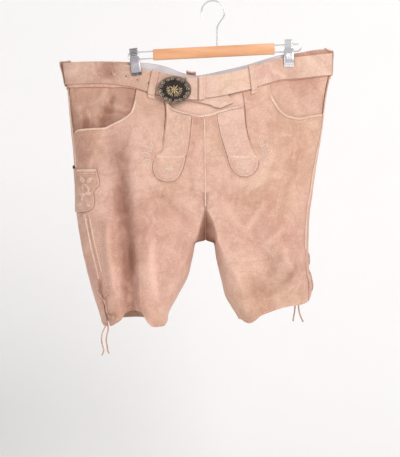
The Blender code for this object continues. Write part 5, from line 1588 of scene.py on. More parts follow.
def smooth_grid(grid, down, along):
    """A grid of pairs with more points, smoothly curved both ways."""
    def finer_line(line, steps):
        outer = rounded_route([spot[0] for spot in line], steps)
        inner = rounded_route([spot[1] for spot in line], steps)
        return list(zip(outer, inner))
    rows = [finer_line(row, along) for row in grid]
    columns = [finer_line(column, down) for column in zip(*rows)]
    return [list(row) for row in zip(*columns)]


def ridged(grid, height):
    """The same grid with a rounded ridge along both of its sides."""
    raised_grid = []
    for i, column in enumerate(grid):
        share = i / (len(grid) - 1)
        rise = height * max(0.0, 1.0 - ((min(share, 1.0 - share) - 0.16) / 0.15) ** 2)
        raised_grid.append([(outer + (outer - inner).normalized() * rise, inner)
                            for outer, inner in column])
    return raised_grid


def loop_outline(low, rise):
    """Section of a belt loop, as (height below the waist's edge, height over the skin)."""
    top = low + STRAP + LOOP_SLACK
    edge = -TAB_GAP - rise
    inner = [(edge, -LEATHER), (edge, top), (0.5 * STRAP_WIDTH, top), (STRAP_WIDTH + 1.5, top),
             (STRAP_WIDTH + 5.0, TAB_GAP), (STRAP_WIDTH + LOOP_TAB, TAB_GAP)]
    outer = [(edge - LEATHER, -LEATHER), (edge - LEATHER, top + LEATHER),
             (0.5 * STRAP_WIDTH, top + LEATHER), (STRAP_WIDTH + 2.4, top + LEATHER),
             (STRAP_WIDTH + 5.9, TAB_GAP + LEATHER), (STRAP_WIDTH + LOOP_TAB, TAB_GAP + LEATHER)]
    return list(zip(outer, inner))


def loop_level(face, x):
    return strap_level(x) if face == "front" and x > 0.0 else STRAP_LOW


class MakeLoops(Maker):
    """The five belt loops."""
    bl_idname = "lederhosen.loops"
    bl_label = "Belt Loops"

    def make(self):
        for name, face, x_top, x_bottom, width in BELT_LOOPS:
            def flat(share, below, height):
                x = mix(x_top, x_bottom, clamp(below / STRAP_WIDTH)) + share * width
                return on_face(x, TOP[face](x) - below, height, face=face)
            outline = loop_outline(loop_level(face, x_top), 0.0 if face == "front" else 4.0)
            self.loop(name, outline, (-0.5, 0.0, 0.5), flat, 7, 0.9)
        for side in SECTIONS:
            def bent(inwards, below, height):
                bow = 0.0
                if height > 2.0:
                    bow = SIDE_LOOP_BOW[side] * clamp(1.0 - below / STRAP_WIDTH)
                q = sqrt(inwards)
                z = TOP["back"](skin(side, q, FOLD_TOP[side] - below).x) - below
                return raised(side, q, z, height + bow)
            self.loop(f"belt_loop_side_{side}", loop_outline(STRAP_LOW, 0.0),
                      (0.35, 1.5, 3.5, 6.5, 10.0, 14.0), bent, 3, 0.7)

    def loop(self, name, outline, stations, spot, down, ridge):
        columns = [[tuple(spot(station, *corner) for corner in corners) for corners in outline]
                   for station in stations]
        wall(name, [ridged(smooth_grid(columns, down, 4), ridge)], "belt_suede", (name,))


def build_keeper():
    """A band round the folded end of the strap."""
    low, high = STRAP_OVER - KEEPER_GAP, RETURN_LOW + RETURN_WALL + KEEPER_GAP
    top, bottom = -KEEPER_GAP, STRAP_WIDTH + KEEPER_GAP
    middle = 0.5 * STRAP_WIDTH
    inner = [(top, low), (top, high), (middle, high), (bottom, high), (bottom, low), (middle, low),
             (top, low)]
    outer = [(top - KEEPER_WALL, low - KEEPER_WALL), (top - KEEPER_WALL, high + KEEPER_WALL),
             (middle, high + KEEPER_WALL), (bottom + KEEPER_WALL, high + KEEPER_WALL),
             (bottom + KEEPER_WALL, low - KEEPER_WALL), (middle, low - KEEPER_WALL),
             (top - KEEPER_WALL, low - KEEPER_WALL)]
    columns = []
    for x in finer((-29.0, -22.0, -15.5), 7):
        edge = TOP["front"](x)
        columns.append([(on_face(x, edge - a[0], a[1]), on_face(x, edge - b[0], b[1]))
                        for a, b in zip(outer, inner)])
    wall("belt_keeper", [ridged(columns, 0.9)], "belt_suede", ("belt_keeper",))


# ---------------------------------------------------------------- pieces laid on the fronts

def panel_edge(side):
    """Points of the pocket's edge at the front panel's own columns."""
    points = []
    shares, count = outer_columns(side)
    for share in shares[:count]:
        z = SLIT_TOP
        x = 0.0
        for _ in range(5):
            seam = skin(side, seam_q(side, z, 0.0), z).x
            x = mix(seam, slit_edge(side, z, False), share)
            z = panel_top(side, x)
        points.append((x, z))
    return points


# Outer faces over the skin: tongues and tips, and the knife pocket
TIP_OVER = LAY_GAP + LEATHER
KNIFE_RISE = 1.0
KNIFE_OVER = KNIFE_RISE + LEATHER

FACING_DENT = {"right": 5.0, "left": 2.5}
FACING_CREASE = {"right": -215.0, "left": 170.0}


def facing_pair(side, share, row):
    sign = MIDDLE_WARD[side]
    z, x = -210.0, 0.0
    for _ in range(4):
        seam = skin(side, seam_q(side, z, 0.0), z).x + 0.5 * sign
        corner = POCKET_LINES[side][-1 if side == "right" else 0][0] + 16.0 * sign
        x = mix(seam, corner, share)
        top = band_edge("front", x) + 9.0
        bottom = POCKET[side](x) - 16.0
        z = mix(top, min(bottom, top - 30.0), row)
    dent = FACING_DENT[side] * sin(pi * clamp(share / 1.1)) * sin(pi * row) ** 2
    crease = FACING_DENT[side] * 0.8 * bell((x - FACING_CREASE[side]) / 11.0)
    deep = TUCK + dent + crease * sin(pi * row) ** 2
    return pair(side, q_at(side, x, z), z, -deep, -deep - LEATHER + 0.2)


def facing_shade(side):
    """Painted shade of a pocket facing: heavy all over on the wearer's right, in the crease, deeper
    down in the pocket, and a dark streak and spot on the right one.
    """
    def shade(point):
        crease = bell((point.x - FACING_CREASE[side]) / 12.0)
        # painted shade deeper down in the pocket
        down = ease((POCKET[side](point.x) + 34.0 - point.z) / 40.0)
        # worn is painted shade over the whole facing, heavy on the wearer's right side, away from
        # the key light
        worn = 0.42 if side == "right" else 0.05
        along = clamp((-190.0 - point.z) / 70.0)
        streak = bell((point.x - mix(-206.0, -224.0, along)) / mix(6.0, 11.0, along))
        spot = bell((point.x + 258.0) / 14.0, (point.z + 256.0) / 12.0)
        dark = 0.0
        if side == "right":
            dark = 0.7 * streak * ease((-186.0 - point.z) / 30.0) + 0.5 * spot
        creased = 0.3 * worn * crease * ease((-195.0 - point.z) / 20.0)
        return clamp(worn + creased + 0.4 * worn * down + dark)
    return shade


class MakePockets(Maker):
    """The rolled edges of the two side pockets and the leather behind them."""
    bl_idname = "lederhosen.pockets"
    bl_label = "Side Pockets"

    def make(self):
        for side in SECTIONS:
            welt, facing = f"pocket_welt_{side}", f"pocket_facing_{side}"
            route = moved_in(panel_edge(side), 2.4, side)[3:-3]
            strip(welt, route, 2.3, LAY_GAP, 2.0, "edge_suede", (welt,),
                  lift=lambda x, z, side=side: pocket_gape(side, x, z))
            rows = finer((0.0, 0.12, 0.3, 0.5, 0.7, 0.86, 1.0), 4)
            shares = finer((0.0, 0.06, 0.14, 0.26, 0.4, 0.52, 0.64, 0.76, 0.88, 1.0), 4)
            columns = [[facing_pair(side, share, row) for row in rows] for share in shares]
            wall(facing, [columns], "pocket_suede", (facing,), facing_shade(side))


def tongue_edges(side):
    return column_lines(TONGUES[side], ("z", "slit", "middle"))


def tongue_spot(edges, across, share):
    """x and z on a tongue; across runs from the slit's edge, share from its lower end up."""
    z, x = mix(SLIT_END, -232.0, share), 0.0
    for _ in range(4):
        x = mix(edges["slit"](z), edges["middle"](z), across)
        z = mix(SLIT_END, FLAP(x), share) - (6.0 if share == 1.0 else 0.0)
    return x, z


def build_tongue(side):
    edges = tongue_edges(side)
    shares = finer((1.0, 0.72, 0.46, 0.22, 0.0, -0.15), 4)
    grid = []
    for share in shares:
        row = []
        for across in finer((0.0, 0.5, 1.0), 7):
            x, z = tongue_spot(edges, across, share)
            if share == 1.0:
                z = FLAP(x) - 6.0
            rise = flap_lift(z) + LAY_GAP + 0.3
            row.append(on_face(x, z, rise + LEATHER - 0.2, rise))
        grid.append(row)
    name = f"flap_tongue_{side}"
    wall(name, [grid], "flap_suede", (name,), lambda point: 0.0)


def build_tip(side):
    rows = column_lines(TONGUE_TIPS[side], ("z", "a", "b"))
    heights = finer([row[0] for row in TONGUE_TIPS[side]], 4)
    grid = []
    for z in heights:
        x_a, x_b = rows["a"](z), rows["b"](z)
        rise = flap_lift(z) + LAY_GAP
        grid.append([on_face(mix(x_a, x_b, i / 16.0), z, rise + LEATHER, rise) for i in range(17)])
    name = f"tongue_tip_{side}"
    wall(name, [grid], "flap_suede", (name,), lambda point: 0.0)


def piping_route(side, away):
    """Down the tongue's edge nearer the middle and round the tip, a distance outside both."""
    edges = tongue_edges(side)
    sign = MIDDLE_WARD[side]
    top = FLAP(edges["middle"](-232.0)) - 4.0
    spots = [(edges["middle"](z) + sign * away, z) for z in finer((top, -316.0), 12)]
    rim = tip_outline(side, -away)
    low = min(range(len(rim)), key=lambda i: rim[i][1])
    near = rim[low:][::-1] if side == "right" else rim[:low + 1]
    far = rim[:low][::-1] if side == "right" else rim[low + 1:]
    near = [spot for spot in near if spot[1] < -322.0]
    whole = spots + near + [spot for spot in far if spot[1] < -330.0]
    return rounded_route([whole[0], *whole[1:-1:3], whole[-1]], 4)


def build_piping(side):
    """Light piping round a tongue and its tip, a dark cord beside it as a painted shadow line, and
    a seam above the tip.
    """
    cords(f"fall_piping_{side}", [laid(piping_route(side, 3.0), 0.6, over_flap)], 0.8,
          "edge_suede", sides=8)
    # painted shadow: a dark cord along the edge of the tongue and its tip
    cords(f"fall_line_{side}", [laid(piping_route(side, 0.7), 0.5, over_flap)], 0.45,
          "lace_leather", sides=6)
    rows = column_lines(TONGUE_TIPS[side], ("z", "a", "b"))
    top = TONGUE_TIPS[side][0][0]
    x_a, x_b = rows["a"](top), rows["b"](top)
    route = [(mix(x_a, x_b, share), top + 1.4 - 2.0 * sin(pi * share))
             for share in finer((0.02, 0.98), 12)]
    strip(f"tip_seam_{side}", route, 3.4, TIP_OVER - 2.2, TIP_OVER + 1.3, "edge_suede",
          lift=over_flap)
    inner = [laid(tip_outline(side, inset), TIP_OVER + 0.3, over_flap) for inset in (4.2, 6.4)]
    cords(f"tip_rows_{side}", inner, 0.5, "edge_suede", sides=6)


def fall_edge(drop):
    """Points along the fall's top edge, a distance below it."""
    edge = []
    for side in ("right", "left"):
        part = []
        for share in INNER_COLUMNS:
            z, x = -230.0, 0.0
            for _ in range(5):
                _, end, shelf, _ = level(side, z)
                lip = end - MIDDLE_WARD[side] * shelf
                x = mix(lip, slit_edge(side, z, True), share)
                z = FLAP(x)
            part.append((x, z - drop))
        edge += part if side == "right" else part[::-1]
    edge = [point for point in edge if abs(point[0] - CROTCH_X) > 6.0]
    edge[0] = (edge[0][0] + 2.5, edge[0][1] - 1.0)
    edge[-1] = (edge[-1][0] - 2.5, edge[-1][1])
    return edge


class MakeFall(Maker):
    """The fall's tongues, tips, binding and centre seam, and the underlay behind it."""
    bl_idname = "lederhosen.fall"
    bl_label = "Fall"

    def make(self):
        columns = []
        for x in finer((-118.0, -68.0, -18.0, 32.0, 82.0), 12):
            column = []
            for row in finer((0.0, 0.2, 0.45, 0.7, 1.0), 4):
                z = mix(band_edge("front", x) + 9.0, FLY_BOTTOM, row)
                column.append(on_face(x, z, -FLY_TUCK, -FLY_TUCK - LEATHER + 0.2))
            columns.append(column)
        # Painted highlight: the paler flap suede and a shaded value below zero lighten the underlay
        # where the belt shades it
        wall("fly_underlay", [columns], "flap_suede", ("fly_underlay",), lambda point: -0.3)
        for side in SECTIONS:
            build_tongue(side)
            build_tip(side)
            build_piping(side)
        strip("flap_top_binding", fall_edge(2.4), 2.2, LAY_GAP, 1.9, "edge_suede",
              ("flap_top_binding",), lift=over_flap)
        heights = finer((-246.0, -262.0, -285.0, *LEVELS[:4], -426.0), 5)
        centre = [(level("right", z)[1] - 0.01, z) for z in heights]
        strip("centre_front_welt", centre, 1.5, LAY_GAP, 1.4, "edge_suede", ("centre_front_welt",),
              lift=over_flap)
        inside = []
        for z in finer((-420.0, -446.0, -470.0, -491.0), 8):
            end = level("right", z)[1]
            inside.append((on_face(end - 0.6, z, -0.5) + on_face(end + 0.6, z, -0.5)) * 0.5)
        cords("crotch_seam", [inside], 0.8, "pocket_suede", sides=8)


# ---------------------------------------------------------------- side trim

WELT_LEVELS = {
    "side_welt_right_upper": ("right", (-196.0, -214.0, -232.0, -255.0, -283.0, -311.0, -326.0,
                                        -344.0)),
    "side_welt_right_lower": ("right", (-443.0, -455.0, -475.0, -488.0, -503.0, -515.0, -540.0,
                                        -560.0, -576.0)),
    "side_welt_left": ("left", (-200.0, -214.0, -232.0, -255.0, -283.0, *LEVELS[:8], -503.0,
                                -514.0)),
}
KNIFE_LEVELS = (-349.5, -354.0, -361.0, -370.0, -379.0, -388.0, -397.0, -405.0, -416.0, -427.0,
                -433.5, -437.5)


class MakeSideTrim(Maker):
    """The side welts, the knife pocket and its button."""
    bl_idname = "lederhosen.side_trim"
    bl_label = "Side Trim"

    def make(self):
        for name, (side, heights) in WELT_LEVELS.items():
            low = 0.9 if side == "left" else 0.5
            route = [(skin(side, seam_q(side, z, 0.5), z).x, z) for z in finer(heights, 4)]
            strip(name, route, 2.0, low - 0.3, low + 1.1, "edge_suede", (name,))
        grid = []
        for z in finer(KNIFE_LEVELS, 3):
            q_edge = q_at("right", KNIFE_EDGE(z), z)
            grid.append([pair("right", mix(q_edge, 2.2, share), z, KNIFE_OVER - 0.2, KNIFE_RISE)
                         for share in finer((0.0, 0.14, 0.28, 0.42, 0.56, 0.7, 0.85, 1.0), 3)])
        wall("knife_pocket", [grid], "sand_suede", ("knife_pocket",), lambda point: 0.12)
        band = [knife_spot(across, -352.2) for across in finer((0.02, 0.88), 10)]
        strip("knife_pocket_band", band, 2.6, KNIFE_OVER - 0.4, KNIFE_OVER + 1.1, "edge_suede")
        edge = [knife_spot(0.035, z) for z in finer(KNIFE_LEVELS[1:-1], 4)]
        foot = [knife_spot(across, -436.0) for across in finer((0.12, 0.86), 10)]
        second = [knife_spot(across, -359.0) for across in finer((0.06, 0.86), 10)]
        piping = [laid(edge + foot, KNIFE_OVER + 0.2), laid(second, KNIFE_OVER)]
        cords("knife_pocket_piping", piping, 0.75, "edge_suede", sides=8)
        # painted shadow: a dark cord along the pocket's inner edge and under its foot
        shadow = [knife_spot(-0.03, z) for z in finer(KNIFE_LEVELS[:-1], 4)]
        under = [knife_spot(across, -439.5) for across in finer((0.12, 0.86), 10)]
        cords("knife_pocket_shadow_line", [laid(shadow + under, 0.3)], 0.5, "lace_leather", sides=6)
        front = [(skin("right", seam_q("right", z, 0.5), z).x + 9.5, z)
                 for z in finer((-444.0, -475.0, -503.0, -540.0, -560.0), 6)]
        strip("thigh_welt", front, 1.7, 0.2, 1.5, "edge_suede")
        between = [(x - 4.8, z) for x, z in front]
        cords("thigh_line", [laid(between, 0.25)], 0.5, "lace_leather", sides=6)
        build_button()


def knife_spot(across, z):
    """x of a spot on the knife pocket's front, across from its inner edge to the side seam."""
    fold = level("right", z)[0]
    return mix(KNIFE_EDGE(z), fold + 2.5, across), z


def build_button():
    """A small domed button of dark horn with two holes."""
    q, z = -0.9, -344.5
    normal = outward("right", q, z)
    base = smooth_point("right", q, z, LAY_GAP + 2.1)
    turn = normal.to_track_quat("Z", "Y").to_matrix()
    profile = ((0.0, -1.5), (3.0, -1.5), (4.0, -0.9), (4.2, 0.0), (3.9, 0.9), (3.2, 1.4),
               (2.4, 1.1), (1.2, 0.9), (0.0, 0.85))
    points, faces = lathe(profile, 24)
    points = [base + turn @ point for point in points]
    mesh_piece("side_button", points, faces, "dark_horn", ("side_button",))
    rings = []
    for offset in (-1.1, 1.1):
        rings.append([base + turn @ Vector((offset + 0.45 * cos(angle), 0.45 * sin(angle), 1.05))
                      for angle in (2.0 * pi * i / 10 for i in range(10))])
    cords("button_holes", rings, 0.16, "black_enamel", sides=6, closed=True)


def lathe(profile, segments, squeeze=1.0):
    """A closed turned shape about Z; profile is (radius, height) from one pole to the other."""
    points, faces, rings = [], [], []
    for radius, height in profile:
        if radius < 1e-6:
            rings.append([len(points)] * segments)
            points.append(Vector((0.0, 0.0, height)))
            continue
        rings.append(list(range(len(points), len(points) + segments)))
        for i in range(segments):
            angle = 2.0 * pi * i / segments
            points.append(Vector((radius * cos(angle), radius * squeeze * sin(angle), height)))
    for low, high in zip(rings, rings[1:]):
        for i in range(segments):
            j = (i + 1) % segments
            face = tuple(dict.fromkeys((low[i], low[j], high[j], high[i])))
            if len(face) > 2:
                faces.append(face)
    return points, faces


# ---------------------------------------------------------------- hem laces

LACE = 1.5
LACE_HEIGHT = LACE + 0.4
RIGHT_LACE_OVER = ((-214.5, -603.0, LACE_HEIGHT), (-219.0, -609.5, 3.4), (-224.5, -617.0, 3.4),
                   (-230.0, -624.5, 2.2))
RIGHT_LACE_DOWN = ((-238.0, -598.0, LACE_HEIGHT), (-234.0, -604.0, 5.2), (-227.5, -611.0, 7.6),
                   (-221.5, -618.5, 6.4), (-220.0, -630.0, 2.6), (-218.5, -642.0, LACE_HEIGHT),
                   (-213.0, -652.0, 2.4), (-206.5, -655.5, LACE_HEIGHT))
RIGHT_KNOT = (-216.5, -664.5)
RIGHT_ENDS = (
    ((0.0, 0.0, 0.0), (-1.5, -1.5, -6.0), (-5.5, -2.0, -14.0), (-8.0, -1.0, -22.0),
     (-9.0, 0.0, -33.0), (-7.0, 0.5, -45.0), (-4.5, 0.5, -55.0), (-8.0, 0.5, -65.0)),
    ((0.0, 0.0, 0.0), (0.8, 2.5, -6.0), (0.5, 3.5, -14.0), (-2.0, 4.0, -24.0),
     (-3.0, 4.2, -35.0), (-1.0, 4.2, -46.0), (0.0, 4.2, -55.0), (3.0, 4.0, -62.0)),
)
LEFT_LOOP = ((2.2, -520.0), (0.8, -526.0), (0.3, -534.0), (0.6, -543.0), (1.8, -551.0))
LEFT_RUN = ((1.8, -558.0), (0.6, -566.0), (0.2, -576.0), (0.2, -588.0), (0.6, -598.0),
            (1.8, -605.0))
LEFT_KNOT_X = 174.0
LEFT_KNOT_Z = -612.0
LEFT_ENDS = (
    ((0.0, 0.0, 0.0), (-0.5, 0.5, -7.0), (-1.0, 0.0, -15.0), (-1.5, -1.0, -23.0),
     (-2.5, -1.5, -32.0), (-4.5, -1.5, -43.0), (-5.5, -1.5, -51.0)),
    ((0.0, 0.0, 0.0), (2.0, -1.5, -6.0), (2.5, -3.5, -14.0), (2.5, -5.0, -23.0),
     (4.5, -5.5, -34.0), (8.0, -5.5, -44.0), (12.0, -5.5, -52.0)),
)


def face_point(x, z, height, face="front"):
    """A point over the smooth skin."""
    side = side_at(x, z)
    return smooth_point(side, q_at(side, x, z, face), z, height)


def knots():
    return {"right": face_point(*RIGHT_KNOT, 3.8),
            "left": face_point(LEFT_KNOT_X, LEFT_KNOT_Z, 3.7, "back")}


class MakeLaces(Maker):
    """The laces at both hems with their knots and free ends."""
    bl_idname = "lederhosen.laces"
    bl_label = "Hem Laces"

    def make(self):
        for side, ends in (("right", RIGHT_ENDS), ("left", LEFT_ENDS)):
            for number, offsets in enumerate(ends, 1):
                self.free_end(side, number, offsets)
            self.knot(side)
        for name, spots in (("lace_right_over", RIGHT_LACE_OVER),
                            ("lace_right_down", RIGHT_LACE_DOWN)):
            line = [face_point(*spot) for spot in spots]
            self.threaded(name, line, [outward("right", q_at("right", x, z), z)
                                       for x, z, _ in (spots[0], spots[-1])])
        for name, spots in (("lace_left_loop", LEFT_LOOP), ("lace_left_run", LEFT_RUN)):
            line = [smooth_point("left", q, z, LACE_HEIGHT) for q, z in spots]
            self.threaded(name, line, [outward("left", *spots[i]) for i in (0, -1)])

    def free_end(self, side, number, offsets):
        start = knots()[side] + Vector((-1.8 if number == 1 else 1.8, 0.0, -3.8))
        route = rounded_route([start + Vector(offset) for offset in offsets], 6)
        name = f"lace_end_{side}_{number}"
        piece = cords(name, [route], LACE, "lace_leather", (name,), sides=12)

    def knot(self, side):
        centre = knots()[side]
        loop = []
        for i in range(60):
            turn = 2.0 * pi * i / 60
            loop.append(centre + Vector((0.92 * (sin(turn) + 2.0 * sin(2.0 * turn)),
                                         0.85 * sin(3.0 * turn),
                                         0.92 * (cos(turn) - 2.0 * cos(2.0 * turn)))))
        name = f"lace_knot_{side}"
        cords(name, [loop], 1.35, "lace_leather", (name,), sides=10, closed=True)

    def threaded(self, name, line, normals):
        """A lace whose ends go down through the leather, with a sewn ring round each hole."""
        first = line[0] - normals[0] * 3.6 + (line[0] - line[1]).normalized() * 1.2
        last = line[-1] - normals[1] * 3.6 + (line[-1] - line[-2]).normalized() * 1.2
        cords(name, [rounded_route([first, *line, last], 5)], LACE, "lace_leather", (name,),
              sides=12)
        rings, rays = [], []
        for spot, normal in zip((line[0], line[-1]), normals):
            turn = normal.to_track_quat("Z", "Y").to_matrix()
            base = spot - normal * (LACE_HEIGHT - 0.35)
            rings.append([base + turn @ Vector((2.5 * cos(angle), 2.5 * sin(angle), 0.0))
                          for angle in (2.0 * pi * i / 18 for i in range(18))])
            for i in range(12):
                arm = Vector((cos(pi * i / 6.0), sin(pi * i / 6.0), 0.0))
                rays.append([base + turn @ (arm * reach) for reach in (2.8, 3.9, 4.8)])
        cords(f"{name}_eyelets", rings, 0.5, "waxed_thread", sides=6, closed=True)
        cords(f"{name}_eyelet_rays", rays, 0.38, "pale_thread", sides=6)


# ---------------------------------------------------------------- stitching

THREAD_LIFT = 0.2
HEM_ROW_UP = 6.5


def seam_rows(side, heights, distances):
    """Rows beside the side seam, at distances round the skin."""
    rows = []
    for distance in distances:
        rows.append([raised(side, q_beside(side, seam_q(side, z, 0.5), z, distance), z, THREAD_LIFT)
                     for z in finer(heights, 6)])
    return rows


def hem_row(side, face):
    """A row above the hem, from the side seam round to the inner end."""
    row = []
    reach = sqrt(abs(level(side, -600.0)[1] - level(side, -600.0)[0])) - 0.25
    for i in range(90):
        q = mix(1.6 if face == "front" else 0.2, reach, i / 89.0) * FACE_WARD[face]
        row.append(raised(side, q, hem_z(side, face, q, -640.0) + HEM_ROW_UP, THREAD_LIFT))
    return row


def tip_outline(side, inwards):
    """Down one edge of a tip and up the other, moved in towards its middle."""
    rows = sorted(TONGUE_TIPS[side], reverse=True)
    left = [(min(row[1:]), row[0]) for row in rows]
    right = [(max(row[1:]), row[0]) for row in reversed(rows)]
    rim = rounded_route([*left, *right], 4)
    moved = []
    for i, point in enumerate(rim):
        run = (rim[min(i + 1, len(rim) - 1)] - rim[max(i - 1, 0)]).normalized()
        moved.append((point.x - run.y * inwards, point.y + run.x * inwards))
    return moved


class MakeStitching(Maker):
    """Rows of stitches on every sewn edge."""
    bl_idname = "lederhosen.stitching"
    bl_label = "Stitching"

    def make(self):
        stitches("stitching_pockets", self.pocket_rows())
        stitches("stitching_fall", self.fall_rows())
        stitches("stitching_waist", self.waist_rows())
        stitches("stitching_sides", self.side_rows())
        stitches("stitching_hems", self.leg_rows())

    def pocket_rows(self):
        rows = []
        for side in SECTIONS:
            edge = panel_edge(side)
            for distance in (6.4, 12.6):
                line = moved_in(edge, distance, side)[3:-3]
                rows.append(laid(line, THREAD_LIFT,
                                 lambda x, z, side=side: pocket_gape(side, x, z)))
            line = moved_in(edge, 44.0, side)[6:-22]
            rows.append(laid(line, THREAD_LIFT))
        return rows

    def fall_rows(self):
        rows = []
        for side in SECTIONS:
            edges = tongue_edges(side)
            for across in (0.09, 0.91):
                spots = [tongue_spot(edges, across, share) for share in finer((0.96, 0.0), 24)]
                rows.append(laid(spots, TIP_OVER + 0.3, over_flap))
            outline = tip_outline(side, 2.6)
            rows.append(laid(outline, TIP_OVER + 0.2, over_flap))
            slit = [(slit_edge(side, z, False) + MIDDLE_WARD[side] * -3.2, z)
                    for z in finer((-208.0, SLIT_END), 24)]
            rows.append(laid(slit, THREAD_LIFT))
        rows.append(laid(fall_edge(6.4), THREAD_LIFT, over_flap))
        for sign in (-1.0, 1.0):
            spots = [(level("right", z)[1] + sign * 3.6, z)
                     for z in finer((-246.0, -330.0, -424.0), 16)]
            rows.append(laid(spots, THREAD_LIFT, over_flap))
        return rows

    def waist_rows(self):
        rows = []
        for side in SECTIONS:
            for face, stations in (("front", FRONT_STATIONS), ("back", WAIST_STATIONS)):
                rows.append([waist_pair(side, station, face, WAISTBAND - 2.6, THREAD_LIFT, 0.0)[0]
                             for station in stations])
        return rows

    def side_rows(self):
        rows = []
        for side, heights in WELT_LEVELS.values():
            rows += seam_rows(side, heights, (-4.2, 4.2))
        pocket = []
        for inset in (0.07, 0.15):
            pocket.append([knife_spot(inset, z) for z in finer(KNIFE_LEVELS[2:], 4)])
        pocket.append([knife_spot(across, -362.5) for across in finer((0.04, 0.86), 14)])
        pocket.append([knife_spot(across, -353.0) for across in finer((0.04, 0.86), 14)])
        pocket.append([knife_spot(across, -434.5) for across in finer((0.1, 0.8), 10)])
        rows += [laid(line, KNIFE_OVER) for line in pocket]
        return rows

    def leg_rows(self):
        rows = []
        for side in SECTIONS:
            rows += [hem_row(side, face) for face in FACE_WARD]
        for sign in (-1.0, 1.0):
            spots = [(level("right", z)[1] + sign * 3.4, z)
                     for z in finer((-205.0, -330.0, -458.0), 20)]
            rows.append(laid(spots, THREAD_LIFT, face="back"))
        return rows


# ---------------------------------------------------------------- embroidery

def curl(length, turns, hand):
    """A stem that ends in a curl, from the origin along +x."""
    points = []
    for i in range(26):
        share = i / 25.0
        angle = hand * 2.0 * pi * turns * share ** 1.6
        reach = (1.0 - 0.86 * share) / 25.0
        last = points[-1] if points else (0.0, 0.0)
        points.append((last[0] + length * 1.7 * reach * cos(angle),
                       last[1] + length * 1.7 * reach * sin(angle)))
    return points


def leaf(length, width):
    """The outline and the vein of one leaf, from the origin along +x."""
    rim = [(length * share, width * 0.5 * sin(pi * share ** 0.8)) for share in finer((0.0, 1.0), 9)]
    return [rim, [(x, -y) for x, y in rim], [(0.0, 0.0), (0.86 * length, 0.0)]]


def turned(lines, place, angle, size=1.0):
    """Lines turned by an angle in degrees, scaled and moved to a place."""
    c, s = cos(radians(angle)) * size, sin(radians(angle)) * size
    return [[(place[0] + c * x - s * y, place[1] + s * x + c * y) for x, y in line]
            for line in lines]


def spray(count, size):
    """A fan of leaves with two curls under it, pointing up +x."""
    lines = []
    for i in range(count):
        share = i / (count - 1) - 0.5
        lines += turned(leaf(size * (1.0 - 0.9 * share * share), 0.3 * size), (0.0, 0.0),
                        130.0 * share)
    lines += turned([curl(0.7 * size, 0.8, 1.0)], (-0.1 * size, 0.05 * size), 115.0)
    lines += turned([curl(0.7 * size, 0.8, -1.0)], (-0.1 * size, -0.05 * size), -115.0)
    return lines


def vine(length, swing, leaves, size):
    """A waving stem along +x with leaves and curls on both sides by turns."""
    def middle(share):
        return share * length, swing * sin(2.0 * pi * share * leaves / 4.0)
    lines = [[middle(share) for share in finer((0.0, 1.0), 40)]]
    for i in range(leaves):
        share = (i + 0.6) / leaves
        hand = 1.0 if i % 2 else -1.0
        lines += turned(leaf(size, 0.42 * size), middle(share), hand * 52.0)
        lines += turned([curl(0.85 * size, 0.9, -hand)], middle(share - 0.25 / leaves),
                        -hand * 48.0)
    lines += turned(leaf(size, 0.4 * size), middle(1.0), 0.0)
    return lines


def ripples(start, end, rows, half_width):
    """Stacked waving lines across a band that runs from start to end."""
    dx, dz = end[0] - start[0], end[1] - start[1]
    length = hypot(dx, dz)
    along = (dx / length, dz / length)
    lines = []
    for i in range(rows):
        line = []
        for step in range(19):
            across = (step / 9.0 - 1.0) * half_width * (0.9 + 0.1 * sin(1.7 * i))
            onward = length * i / (rows - 1) + 1.5 * cos(pi * step / 3.0)
            line.append((start[0] + along[0] * onward - along[1] * across,
                         start[1] + along[1] * onward + along[0] * across))
        lines.append(line)
    return lines


def satin_leaf(length, width):
    """A leaf filled with slanting stitches, from the origin along +x."""
    lines = leaf(length, width)[:2]
    for i in range(1, 8):
        share = i / 8.0
        half = width * 0.5 * sin(pi * share ** 0.8)
        lines.append([(length * share - 0.5 * half, half), (length * share + 0.3 * half, 0.0),
                      (length * share - 0.5 * half, -half)])
    return lines


def scrollwork():
    """A standing scroll of three threads with leaves, for the knife pocket; x across, y up."""
    spine = ((7.0, -4.0), (1.0, -7.0), (-6.0, -3.0), (-7.5, 5.0), (-2.0, 11.0), (5.0, 16.0),
             (8.0, 24.0), (4.0, 32.0), (-4.0, 35.0), (-9.0, 30.0), (-6.0, 25.0))
    lines = []
    for size in (1.0, 0.86, 0.72):
        lines.append([(x * size, 14.0 + (y - 14.0) * size) for x, y in rounded_route(spine, 5)])
    for place, angle, length in (((0.0, 11.0), 168.0, 13.0), ((1.0, 17.0), -12.0, 13.0),
                                 ((3.0, 38.0), 55.0, 15.0), ((-5.0, 38.0), 118.0, 15.0),
                                 ((4.0, -8.0), -28.0, 12.0), ((-5.0, -7.0), 208.0, 12.0)):
        lines += turned(satin_leaf(length, 0.46 * length), place, angle)
    return lines


# Leaves beside the tips: place, angle, length
BESIDE_TIPS = (((-125.0, -308.0), 104.0, 15.0), ((-127.0, -314.0), 135.0, 19.0),
               ((-128.0, -322.0), 165.0, 21.0), ((-128.0, -331.0), 194.0, 19.0),
               ((-127.0, -339.0), 224.0, 15.0), ((98.0, -304.0), 76.0, 15.0),
               ((100.0, -310.0), 46.0, 19.0), ((101.0, -318.0), 14.0, 21.0),
               ((100.0, -326.0), -16.0, 18.0), ((98.0, -333.0), -46.0, 14.0))


